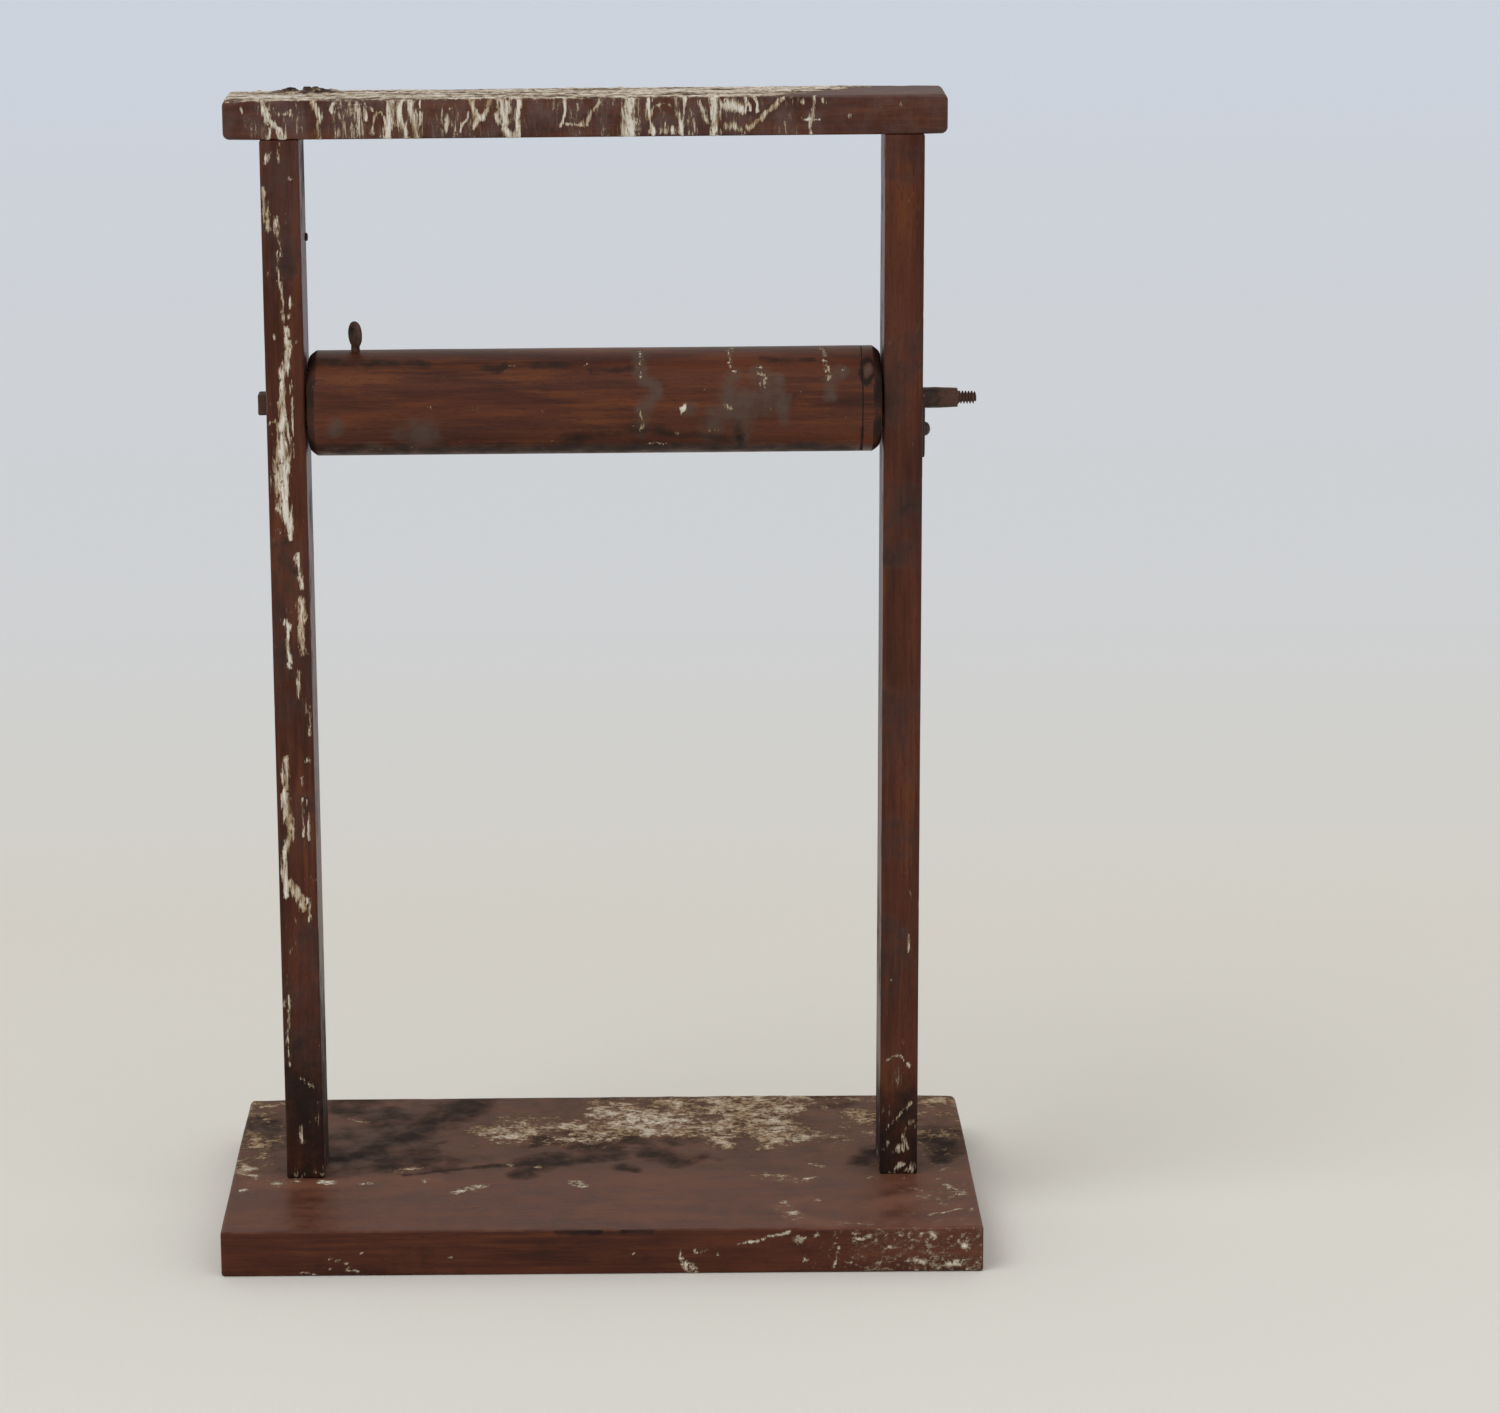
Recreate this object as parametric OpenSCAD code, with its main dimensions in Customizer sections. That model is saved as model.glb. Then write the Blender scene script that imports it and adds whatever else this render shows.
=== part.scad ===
// Small hardwood table mangle: one roller that turns between two posts on a
// base board. Millimetres, +Z up, X along the roller, -Y towards the user.
// The origin is the middle of the underside of the base board.

/* [Base board] */
// Width of the base board, side to side
base_w = 276; // [275:1:320]
// Depth of the base board, front to back
base_d = 147; // [110:1:180]
// Thickness of the base board
base_t = 17; // [15:0.5:24]

/* [Posts and rail] */
// Width of a post, seen from the front
post_w = 14; // [13:0.5:18]
// Depth of a post and of the rail, front to back
post_d = 28; // [26:1:34]
// Clear gap between the two posts
post_gap = 207; // [203:1:210]
// How far the posts stand in front of the middle of the base board
post_forward = 3; // [0:0.5:8]
// Height of the underside of the rail above the ground
rail_z = 405; // [390:1:460]
// Length of the rail
rail_l = 256; // [250:1:266]
// Thickness of the rail
rail_h = 14; // [13:0.5:20]
// How far the rail sits to the left of the middle
rail_left = 2.4; // [0:0.2:3]

/* [Roller] */
// Diameter of the roller
roller_d = 38; // [34:0.5:44]
// Height of the roller's axis above the ground
roller_z = 308.2; // [200:0.1:330]
// Gap between each end of the roller and its post
side_gap = 0.7; // [0.5:0.1:1.5]
// Thickness of the cap on the crank end of the roller
cap_t = 7; // [5:0.5:10]
// Width of the chamfer round each end of the roller
roller_chamfer = 3; // [1:0.2:4]

/* [Crank axle] */
// Diameter of the axle where it turns in the post
journal_d = 7.5; // [6.5:0.1:8.5]
// How far the round of the axle stands out of the post
journal_out = 6.2; // [4:0.1:9]
// Across the flats where the square starts
square_wide = 7.1; // [6.5:0.1:7.2]
// Across the flats where the square ends
square_narrow = 6.4; // [6:0.1:6.5]
// Length of the square that takes the crank
square_l = 7; // [5:0.5:12]
// Outside diameter of the thread that takes the crank's nut
thread_d = 4.7; // [4:0.1:5]
// Length of the thread
thread_l = 6.8; // [5:0.1:7]

/* [Other ironwork] */
// Side of the square head on the pivot screw
pivot_head = 7.6; // [7:0.1:9]
// Diameter of the pivot screw's shank
pivot_d = 5; // [4:0.1:6]
// Distance from the left end of the roller to the eye screw
eye_from_end = 17; // [10:0.5:60]
// Thickness of the eye screw's wire
eye_wire = 2.5; // [2:0.1:3]
// Outside diameter of the eye
eye_d = 9.6; // [8:0.1:12]
// How far the eye is turned towards the front
eye_turn = 24; // [0:1:90]
// Thickness of the saddle plate under the axle
saddle_t = 1.1; // [0.8:0.1:2]
// Height of the left post's old nail above the ground
old_nail_z = 367; // [350:1:380]

/* [Hidden] */
$fn = 48;

// Finishes
mahogany = [0.34, 0.16, 0.11];
roller_wood = [0.40, 0.19, 0.11];
dark_iron = [0.16, 0.13, 0.12];
rusty_iron = [0.27, 0.17, 0.12];

// Clearances
hidden_fit = 0.05;    // round every fixed joint inside the wood
running_fit = 0.05;   // round the axle and the pivot screw in the posts
turning_gap = 0.2;    // between the pivot screw's head and its post
eps = 0.01;           // overshoot of a cutter past the face it opens

// Edges
wood_ease = 0.8;      // rounding worn on to the long edges
board_corner = 2;     // rounding of the base board's corners in plan
rail_corner = 2.5;    // rounding of the rail's ends

// Places
post_x = post_gap / 2 + post_w / 2;
outer_face = post_gap / 2 + post_w;
post_y = -post_forward;
roller_r = roller_d / 2;
roller_end = post_gap / 2 - side_gap;
cap_face = roller_end - cap_t;
barrel_l = cap_face + roller_end;

// Joints between posts, base board and rail
foot_tenon = [8, 20, 9];
head_tenon = [6, 18, 8];

// Foot screws
screw_head_d = 7;
screw_d = 3.4;
screw_cone = 2.2;
screw_recess = 0.6;
screw_l = 28;
screw_pitch_y = 12;

// Nails and brads
nail_d = 1.8;
nail_head_d = 4;
nail_head_t = 1;
nail_l = 32;
right_nail_x = 109;
left_nail_x = -115;
old_nail_y = 7;
old_nail_head_d = 3.1;
old_nail_head_t = 1;
old_nail_l = 9;
brad_d = 1.4;
brad_head_d = 2.8;
brad_head_t = 0.8;
brad_l = 20;
brad_ring_r = 11;

// Axle and pivot inside the roller
tang = 6;
tang_l = 46;
pivot_head_t = 3.5;
pivot_grip = 34;
pivot_point = 5;
thread_bevel = 0.9;

// Saddle plate and its round-head screw
saddle_w = 18;
saddle_top = roller_z + 2.2;
saddle_bottom = roller_z - 20.2;
saddle_screw_z = roller_z - 11.4;
round_head_d = 5.2;
round_head_h = 2.5;
round_screw_d = 2.6;
round_screw_l = 10;

// Eye screw
eye_x = -roller_end + eye_from_end;
eye_neck = 1;
eye_shank_d = eye_wire - 0.3;
eye_shank_l = 12;
eye_point = 3;

// A rectangle with round corners, centred.
module rounded_rect(w, h, r) {
    square([w - 2 * r, h], center = true);
    square([w, h - 2 * r], center = true);
    for (x = [-1, 1], y = [-1, 1])
        translate([x * (w / 2 - r), y * (h / 2 - r)]) circle(r);
}

// A block of wood standing on Z = 0, with eased edges and rounded corners.
// plan, front and side are the roundings seen along Z, Y and X.
module eased_block(size, plan, front, side) {
    intersection() {
        linear_extrude(size.z) rounded_rect(size.x, size.y, plan);
        translate([0, size.y / 2, size.z / 2]) rotate([90, 0, 0])
            linear_extrude(size.y) rounded_rect(size.x, size.z, front);
        translate([-size.x / 2, 0, size.z / 2]) rotate([90, 0, 90])
            linear_extrude(size.x) rounded_rect(size.y, size.z, side);
    }
}

// A cylinder that points along +X from the origin.
module rod_x(d, l) {
    rotate([0, 90, 0]) cylinder(d = d, h = l);
}

// A cone that points along +X from the origin.
module cone_x(d1, d2, l) {
    rotate([0, 90, 0]) cylinder(d1 = d1, d2 = d2, h = l);
}

// A rectangular tenon or mortise of a post, standing on Z = 0.
module tenon(size, gap = 0) {
    translate([-size.x / 2 - gap, -size.y / 2 - gap, 0])
        cube([size.x + 2 * gap, size.y + 2 * gap, size.z + gap]);
}

// A countersunk wood screw that points up from Z = 0.
module wood_screw(gap = 0) {
    cylinder(d1 = screw_head_d + 2 * gap, d2 = screw_d + 2 * gap, h = screw_cone);
    translate([0, 0, screw_cone - eps])
        cylinder(d = screw_d + 2 * gap, h = screw_l - 2 * screw_cone + eps);
    translate([0, 0, screw_l - screw_cone - eps])
        cylinder(d1 = screw_d + 2 * gap, d2 = 0.6, h = screw_cone + eps);
}

// A flat-headed nail that points down from Z = 0, its head flush with Z = 0.
module nail(d, head_d, head_t, l, gap = 0) {
    translate([0, 0, -head_t - gap]) cylinder(d = head_d + 2 * gap, h = head_t + gap);
    translate([0, 0, -l + d]) cylinder(d = d + 2 * gap, h = l - d - head_t + eps);
    translate([0, 0, -l]) cylinder(d1 = 0.4, d2 = d + 2 * gap, h = d + eps);
}

// Places one child at a foot screw of the post on that side (-1 left, 1 right)
// and row (-1 front, 1 rear).
module at_foot_screw(side, row) {
    translate([side * post_x, post_y + row * screw_pitch_y / 2, screw_recess])
        children();
}

// Places one child at the top of the rail, over the post on that side.
module at_rail_nail(side) {
    x = side < 0 ? left_nail_x : right_nail_x;
    translate([x, post_y, rail_z + rail_h]) children();
}

// Places one child on the inner face of the left post, pointing into the wood.
module at_old_nail() {
    translate([-post_gap / 2, old_nail_y, old_nail_z]) rotate([0, 90, 0]) children();
}

// Places one child at the roller's axis, on X = 0.
module at_axis() {
    translate([0, post_y, roller_z]) children();
}

// Places one child at a brad of the cap, pointing into the roller.
module at_brad(row) {
    at_axis() translate([roller_end, row * brad_ring_r, 0]) rotate([0, 90, 0])
        children();
}

module base_board() {
    color(mahogany) difference() {
        eased_block([base_w, base_d, base_t], board_corner, wood_ease, wood_ease);
        for (side = [-1, 1]) {
            translate([side * post_x, post_y, base_t - foot_tenon.z])
                tenon(foot_tenon + [0, 0, eps], hidden_fit);
            for (row = [-1, 1]) {
                at_foot_screw(side, row) wood_screw(hidden_fit);
                at_foot_screw(side, row) translate([0, 0, -screw_recess - eps])
                    cylinder(d = screw_head_d + 2 * hidden_fit, h = screw_recess + 2 * eps);
            }
        }
    }
}

// The wood of a post, before its bore is drilled.
module post_blank(side) {
    translate([side * post_x, post_y, base_t]) {
        eased_block([post_w, post_d, rail_z - base_t], wood_ease, 0.2, 0.2);
        translate([0, 0, -foot_tenon.z + hidden_fit]) tenon(foot_tenon);
        translate([0, 0, rail_z - base_t - hidden_fit]) tenon(head_tenon);
    }
}

module left_post() {
    color(mahogany) difference() {
        post_blank(-1);
        at_axis() translate([-outer_face - 1, 0, 0])
            rod_x(pivot_d + 2 * running_fit, post_w + 2);
        for (row = [-1, 1]) at_foot_screw(-1, row) wood_screw(hidden_fit);
        at_rail_nail(-1) nail(nail_d, nail_head_d, nail_head_t, nail_l, hidden_fit);
        at_old_nail() nail(brad_d, brad_d, eps, old_nail_l, hidden_fit);
    }
}

module right_post() {
    color(mahogany) difference() {
        post_blank(1);
        at_axis() translate([post_gap / 2 - 1, 0, 0])
            rod_x(journal_d + 2 * running_fit, post_w + 2);
        for (row = [-1, 1]) at_foot_screw(1, row) wood_screw(hidden_fit);
        at_rail_nail(1) nail(nail_d, nail_head_d, nail_head_t, nail_l, hidden_fit);
        translate([outer_face, post_y, saddle_screw_z]) rotate([0, 90, 0])
            nail(round_screw_d, round_screw_d, eps, round_screw_l, hidden_fit);
    }
}

module top_rail() {
    color(mahogany) difference() {
        translate([-rail_left, post_y, rail_z])
            eased_block([rail_l, post_d, rail_h], rail_corner, rail_corner, wood_ease);
        for (side = [-1, 1]) {
            translate([side * post_x, post_y, rail_z - eps])
                tenon(head_tenon + [0, 0, eps], hidden_fit);
            at_rail_nail(side) {
                nail(nail_d, nail_head_d, nail_head_t, nail_l, hidden_fit);
                translate([0, 0, -eps]) cylinder(d = nail_head_d + 2 * hidden_fit, h = 1);
            }
        }
    }
}

module foot_screw(side, row) {
    color(dark_iron) at_foot_screw(side, row) wood_screw();
}

module rail_nail(side) {
    color(dark_iron) at_rail_nail(side)
        nail(nail_d, nail_head_d, nail_head_t, nail_l);
}

// An old nail left in the post, its head proud of the wood.
module old_post_nail() {
    color(dark_iron) at_old_nail() {
        nail(brad_d, brad_d, eps, old_nail_l);
        cylinder(d = old_nail_head_d, h = old_nail_head_t);
    }
}

// The wear plate screwed outside the right post, notched for the axle.
module saddle_plate() {
    color(dark_iron) difference() {
        translate([outer_face, post_y - saddle_w / 2, saddle_bottom])
            cube([saddle_t, saddle_w, saddle_top - saddle_bottom]);
        at_axis() translate([outer_face - 1, 0, 0])
            rod_x(journal_d + 4 * running_fit, saddle_t + 2);
        translate([outer_face - 1, post_y - journal_d / 2 - 2 * running_fit, roller_z])
            cube([saddle_t + 2, journal_d + 4 * running_fit, roller_r]);
        translate([outer_face - 1, post_y, saddle_screw_z])
            rod_x(round_screw_d + 2 * hidden_fit, saddle_t + 2);
    }
}

// A round-head wood screw whose head sits on the saddle plate.
module saddle_screw() {
    color(dark_iron) translate([outer_face, post_y, saddle_screw_z]) {
        rotate([0, 90, 0]) nail(round_screw_d, round_screw_d, eps, round_screw_l);
        translate([-eps, 0, 0]) rod_x(round_screw_d, saddle_t + 2 * eps);
        translate([saddle_t, 0, 0]) difference() {
            scale([round_head_h / (round_head_d / 2), 1, 1])
                rotate([0, 90, 0]) rotate_extrude()
                    intersection() {
                        circle(d = round_head_d);
                        square(round_head_d);
                    }
            translate([round_head_h - 0.9, -round_head_d, -0.4])
                cube([2, 2 * round_head_d, 0.8]);
        }
    }
}

// The square spike on the axle's inner end, driven into the roller.
module drive_tang(gap = 0) {
    side = tang + 2 * gap;
    translate([cap_face - tang_l - gap, -side / 2, -side / 2])
        cube([tang_l + gap, side, side]);
}

module roller_barrel() {
    color(roller_wood) at_axis() difference() {
        union() {
            translate([-roller_end + roller_chamfer, 0, 0])
                rod_x(roller_d, barrel_l - roller_chamfer);
            translate([-roller_end, 0, 0])
                cone_x(roller_d - 2 * roller_chamfer, roller_d, roller_chamfer);
        }
        drive_tang(hidden_fit);
        translate([-roller_end - eps, 0, 0])
            rod_x(pivot_d + 2 * hidden_fit, pivot_grip + eps);
        translate([eye_x, 0, roller_r - eye_shank_l - hidden_fit])
            cylinder(d = eye_shank_d + 2 * hidden_fit, h = 2 * eye_shank_l);
        for (row = [-1, 1]) translate([cap_face - brad_l + cap_t, row * brad_ring_r, 0])
            rod_x(brad_d + 2 * hidden_fit, brad_l);
    }
}

module roller_cap() {
    color(roller_wood) difference() {
        at_axis() translate([cap_face, 0, 0]) {
            rod_x(roller_d, cap_t - roller_chamfer);
            translate([cap_t - roller_chamfer, 0, 0])
                cone_x(roller_d, roller_d - 2 * roller_chamfer, roller_chamfer);
        }
        at_axis() translate([cap_face - 1, 0, 0])
            rod_x(journal_d + 2 * hidden_fit, cap_t + 2);
        for (row = [-1, 1]) {
            at_brad(row) nail(brad_d, brad_head_d, brad_head_t, brad_l, hidden_fit);
            at_brad(row) translate([0, 0, -eps])
                cylinder(d = brad_head_d + 2 * hidden_fit, h = 1);
        }
    }
}

module cap_brad(row) {
    color(dark_iron) at_brad(row) nail(brad_d, brad_head_d, brad_head_t, brad_l - 1);
}

// The filed square: the round bar with four flats that taper outwards.
module crank_square() {
    half = journal_d;
    flats = [
        [0, -square_wide / 2], [square_l, -square_narrow / 2],
        [square_l, square_narrow / 2], [0, square_wide / 2]
    ];
    intersection() {
        rod_x(journal_d, square_l);
        translate([0, 0, -half]) linear_extrude(2 * half) polygon(flats);
        translate([0, half, 0]) rotate([90, 0, 0]) linear_extrude(2 * half) polygon(flats);
    }
}

module crank_axle() {
    square_x = outer_face + journal_out;
    thread_x = square_x + square_l;
    color(dark_iron) at_axis() {
        drive_tang();
        translate([cap_face, 0, 0]) rod_x(journal_d, square_x - cap_face);
        translate([square_x, 0, 0]) crank_square();
        translate([thread_x, 0, 0]) rod_x(thread_d, thread_l - thread_bevel);
        translate([thread_x + thread_l - thread_bevel, 0, 0])
            cone_x(thread_d, thread_d - 2 * thread_bevel, thread_bevel);
    }
}

module pivot_screw() {
    head_x = -outer_face - turning_gap - pivot_head_t;
    shank_end = -roller_end + pivot_grip - pivot_point;
    color(rusty_iron) at_axis() {
        translate([head_x, -pivot_head / 2, -pivot_head / 2])
            cube([pivot_head_t, pivot_head, pivot_head]);
        translate([head_x + 1, 0, 0]) rod_x(pivot_d, shank_end - head_x - 1);
        translate([shank_end, 0, 0]) cone_x(pivot_d, 1, pivot_point - 1);
    }
}

module eye_screw() {
    ring_r = (eye_d - eye_wire) / 2;
    ring_z = roller_r + eye_neck + eye_d / 2;
    color(rusty_iron) at_axis() translate([eye_x, 0, 0]) {
        translate([0, 0, ring_z]) rotate([0, 0, eye_turn]) rotate([0, 90, 0])
            rotate_extrude() translate([ring_r, 0]) circle(d = eye_wire);
        translate([0, 0, roller_r - eye_shank_l + eye_point])
            cylinder(d = eye_shank_d, h = eye_shank_l - eye_point + eye_neck + eye_wire / 2);
        translate([0, 0, roller_r - eye_shank_l])
            cylinder(d1 = 0.5, d2 = eye_shank_d, h = eye_point);
    }
}

base_board();
left_post();
right_post();
top_rail();
foot_screw(-1, -1);  // left_foot_screw_front
foot_screw(-1, 1);  // left_foot_screw_rear
foot_screw(1, -1);  // right_foot_screw_front
foot_screw(1, 1);  // right_foot_screw_rear
rail_nail(-1);  // left_rail_nail
rail_nail(1);  // right_rail_nail
old_post_nail();
saddle_plate();
saddle_screw();
roller_barrel();
roller_cap();
cap_brad(-1);  // cap_brad_front
cap_brad(1);  // cap_brad_rear
crank_axle();
pivot_screw();
eye_screw();
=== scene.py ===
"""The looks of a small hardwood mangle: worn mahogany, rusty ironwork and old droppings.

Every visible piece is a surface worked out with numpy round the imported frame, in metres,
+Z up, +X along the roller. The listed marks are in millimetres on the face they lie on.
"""
import logging
from dataclasses import dataclass, field
from enum import Enum
from typing import Callable

import bpy
import numpy as np
from mathutils import Matrix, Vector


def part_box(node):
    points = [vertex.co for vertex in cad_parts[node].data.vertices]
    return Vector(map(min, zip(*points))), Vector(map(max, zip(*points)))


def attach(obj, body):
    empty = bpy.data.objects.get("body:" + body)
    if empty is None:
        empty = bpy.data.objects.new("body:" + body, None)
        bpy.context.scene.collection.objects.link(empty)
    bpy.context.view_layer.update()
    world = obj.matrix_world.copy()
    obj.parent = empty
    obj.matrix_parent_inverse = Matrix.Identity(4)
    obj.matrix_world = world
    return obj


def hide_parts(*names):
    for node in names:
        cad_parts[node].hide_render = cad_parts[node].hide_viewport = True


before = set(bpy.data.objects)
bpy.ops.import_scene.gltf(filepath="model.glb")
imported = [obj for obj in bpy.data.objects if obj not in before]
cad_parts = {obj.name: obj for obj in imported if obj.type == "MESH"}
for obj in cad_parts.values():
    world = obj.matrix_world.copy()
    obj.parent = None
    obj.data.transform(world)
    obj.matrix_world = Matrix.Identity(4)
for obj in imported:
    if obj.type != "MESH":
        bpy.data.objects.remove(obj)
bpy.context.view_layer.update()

LOG = logging.getLogger("mangle")
MM = 0.001
CELL_PRIMES = (73856093, 19349663, 83492791)
SEED_PRIME = 2654435761
MIX_PRIME = 1274126177
NOISE_SHIFT = 1000.0  # cells; keeps every cell's number above zero
OCTAVE_SEED = 7  # step from one octave's seed to the next
UP, FORWARD, BACKWARD = (0.0, 0.0, 1.0), (0.0, -1.0, 0.0), (0.0, 1.0, 0.0)
Array = np.ndarray
Triple = tuple[float, float, float]
Colour = Triple


# ---------------------------------------------------------------- numbers on points

def hashed(cell: Array, seed: int) -> Array:
    """A repeatable number from 0 to 1 for each whole-number cell.

    Args:
        cell: whole numbers, one row of three for each point.
        seed: picks another set of numbers.

    Returns:
        One number for each row, from an integer hash of the three and the seed.
    """
    key = cell.astype(np.uint64) * np.array(CELL_PRIMES, np.uint64)
    mixed = (key[:, 0] ^ key[:, 1] ^ key[:, 2]) + np.uint64(seed * SEED_PRIME)
    mixed = (mixed ^ (mixed >> np.uint64(13))) * np.uint64(MIX_PRIME)
    mixed = mixed ^ (mixed >> np.uint64(16))
    return (mixed & np.uint64(0xFFFF)).astype(float) / 0xFFFF


def smooth_noise(points: Array, size: float, seed: int) -> Array:
    """Value noise from 0 to 1: hashed cell corners blended by 3t^2 - 2t^3 along each axis.

    Args:
        points: one row of three coordinates for each point.
        size: the side of a cell, in the points' own unit.
        seed: picks another pattern.

    Returns:
        One number for each point.
    """
    scaled = points / size + NOISE_SHIFT
    cell = np.floor(scaled).astype(np.int64)
    part = scaled - cell
    part = part * part * (3.0 - 2.0 * part)
    total = np.zeros(len(points))
    for corner in np.ndindex(2, 2, 2):
        step = np.array(corner)
        weight = np.prod(np.where(step, part, 1.0 - part), axis=1)
        total += weight * hashed(cell + step, seed)
    return total


def cloud(points: Array, size: float, seed: int, octaves: int = 3) -> Array:
    """Fractal noise from 0 to 1: each octave has half the cell and half the weight of the last.

    Args:
        points: one row of three coordinates for each point.
        size: the side of the first octave's cell, in the points' own unit.
        seed: picks another pattern.
        octaves: how many layers are summed.

    Returns:
        One number for each point.
    """
    weights = 0.5 ** np.arange(octaves)
    layers = [smooth_noise(points, size * share, seed + OCTAVE_SEED * k) * share
              for k, share in enumerate(weights)]
    return np.sum(layers, axis=0) / weights.sum()


def ramp(value: Array, low: float, high: float) -> Array:
    """0 below low, 1 above high, and 3t^2 - 2t^3 between them, where t runs from 0 to 1."""
    part = np.clip((value - low) / (high - low), 0.0, 1.0)
    return part * part * (3.0 - 2.0 * part)


def facing(normals: Array, way: Triple, low: float = 0.3, high: float = 0.8) -> Array:
    """1 where a surface looks that way, falling to 0 where it looks across it or away from it."""
    return ramp(normals @ np.array(way), low, high)


# ---------------------------------------------------------------- surfaces

@dataclass
class Surface:
    """A closed mesh as whole arrays: points in metres, and faces as rows of point numbers."""

    points: Array
    faces: list[Array]

    def joined(self, *others: "Surface") -> "Surface":
        """Puts several surfaces together.

        Args:
            others: the surfaces that join this one.

        Returns:
            One mesh of separate shells.
        """
        points, faces, offset = [], [], 0
        for part in (self, *others):
            points.append(part.points)
            faces += [rows + offset for rows in part.faces]
            offset += len(part.points)
        return Surface(np.concatenate(points), faces)

    def moved(self, x: float = 0.0, y: float = 0.0, z: float = 0.0) -> "Surface":
        """The same surface, shifted by x, y and z metres."""
        return Surface(self.points + np.array([x, y, z]), self.faces)

    def turned(self, axes: tuple[int, int, int], signs: tuple[int, int, int]) -> "Surface":
        """Swaps axes: new axis i is old axis axes[i] times signs[i].

        Args:
            axes: the old axis that each new axis takes.
            signs: 1 or -1 for each new axis.

        Returns:
            The turned surface. Its faces are turned over where the swap mirrors it.
        """
        points = self.points[:, list(axes)] * np.array(signs)
        flips = np.linalg.det(np.eye(3)[list(axes)] * np.array(signs)[:, None]) < 0
        return Surface(points, [rows[:, ::-1] if flips else rows for rows in self.faces])

    def mesh(self, name: str) -> bpy.types.Mesh:
        """Makes the Blender mesh of this surface.

        Args:
            name: the mesh's name.

        Returns:
            The mesh, shaded smooth.
        """
        data = bpy.data.meshes.new(name)
        sizes = np.concatenate([np.full(len(rows), rows.shape[1]) for rows in self.faces])
        corners = np.concatenate([rows.ravel() for rows in self.faces])
        data.vertices.add(len(self.points))
        data.loops.add(len(corners))
        data.polygons.add(len(sizes))
        data.vertices.foreach_set("co", self.points.astype(np.float32).ravel())
        data.loops.foreach_set("vertex_index", corners.astype(np.int32))
        starts = np.concatenate([[0], np.cumsum(sizes)[:-1]])
        data.polygons.foreach_set("loop_start", starts.astype(np.int32))
        data.update(calc_edges=True)
        data.validate()
        data.shade_smooth()
        return data


def stations(length: float, rim: float, step: float, rim_steps: int) -> Array:
    """Places along one side of a block, centred on 0 and closer together near both ends.

    Args:
        length: length of the side.
        rim: length of the fine stretch at each end.
        step: spacing of the middle stretch.
        rim_steps: how many spacings a fine stretch has.

    Returns:
        The places in rising order.
    """
    half = length / 2
    middle = np.linspace(-half + rim, half - rim, max(2, round((length - 2 * rim) / step)) + 1)
    edge = np.linspace(0, rim, rim_steps + 1)[:-1]
    return np.concatenate([-half + edge, middle, half - edge[::-1]])


def block(size: Array, step: float, rim: float, rim_steps: int,
          ease: Callable[[Array], Array]) -> Surface:
    """A rectangular block whose edges are rounded by a radius that may change along them.

    A point of a plain box is pulled on to a ball of radius r round the nearest point of the
    same box shrunk by r on every side: p' = c + r (p - c) / |p - c|.

    Args:
        size: the block's three sizes.
        step: spacing of the grid on its faces.
        rim: width of the finer strip along each edge, at least the largest radius.
        rim_steps: how many grid lines that strip has.
        ease: gives the radius r at each of an array of points.

    Returns:
        A closed surface centred on the origin.
    """
    lines = [stations(length, rim, step, rim_steps) for length in size]
    count = np.array([len(line) for line in lines])
    strides = np.array([count[1] * count[2], count[2], 1])
    quads = []
    for axis in range(3):
        across, up = (axis + 1) % 3, (axis + 2) % 3
        a, b = np.meshgrid(np.arange(count[across] - 1), np.arange(count[up] - 1), indexing="ij")
        for end, ring in ((0, ((0, 0), (0, 1), (1, 1), (1, 0))),
                          (count[axis] - 1, ((0, 0), (1, 0), (1, 1), (0, 1)))):
            wall = end * strides[axis]
            rows = [wall + (a + da) * strides[across] + (b + db) * strides[up] for da, db in ring]
            quads.append(np.stack([row.ravel() for row in rows], axis=1))
    used, faces = np.unique(np.concatenate(quads), return_inverse=True)
    index = np.stack([used // strides[0], used // strides[1] % count[1], used % count[2]], axis=1)
    points = np.stack([lines[k][index[:, k]] for k in range(3)], axis=1)
    radius = ease(points)[:, None]
    core = np.clip(points, -size / 2 + radius, size / 2 - radius)
    away = points - core
    reach = np.maximum(np.linalg.norm(away, axis=1, keepdims=True), 1e-12)
    return Surface(core + away * radius / reach, [faces.reshape(-1, 4)])


def loft(rings: Array, closed: bool = False) -> Surface:
    """A skin over a row of rings: quads between rings, and a fan to the middle of each end.

    Args:
        rings: array of shape (rings, points in a ring, 3); seen along the row, rings turn
            clockwise.
        closed: the last ring joins the first, as in a torus, and there are no ends.

    Returns:
        A closed surface.
    """
    rows, around = rings.shape[:2]
    ids = np.arange(rows * around).reshape(rows, around)
    after = np.roll(ids, -1, axis=0) if closed else ids[1:]
    before = ids if closed else ids[:-1]
    quads = np.stack([before, after, np.roll(after, -1, 1), np.roll(before, -1, 1)], axis=-1)
    points = rings.reshape(-1, 3)
    faces = [quads.reshape(-1, 4)]
    if not closed:
        ends = np.array([rings[0].mean(0), rings[-1].mean(0)])
        points = np.concatenate([points, ends])
        first, last = ids[0], ids[-1]
        middle = rows * around
        faces.append(np.stack([np.full(around, middle), first, np.roll(first, -1)], axis=1))
        faces.append(np.stack([np.full(around, middle + 1), np.roll(last, -1), last], axis=1))
    return Surface(points, faces)


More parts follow.
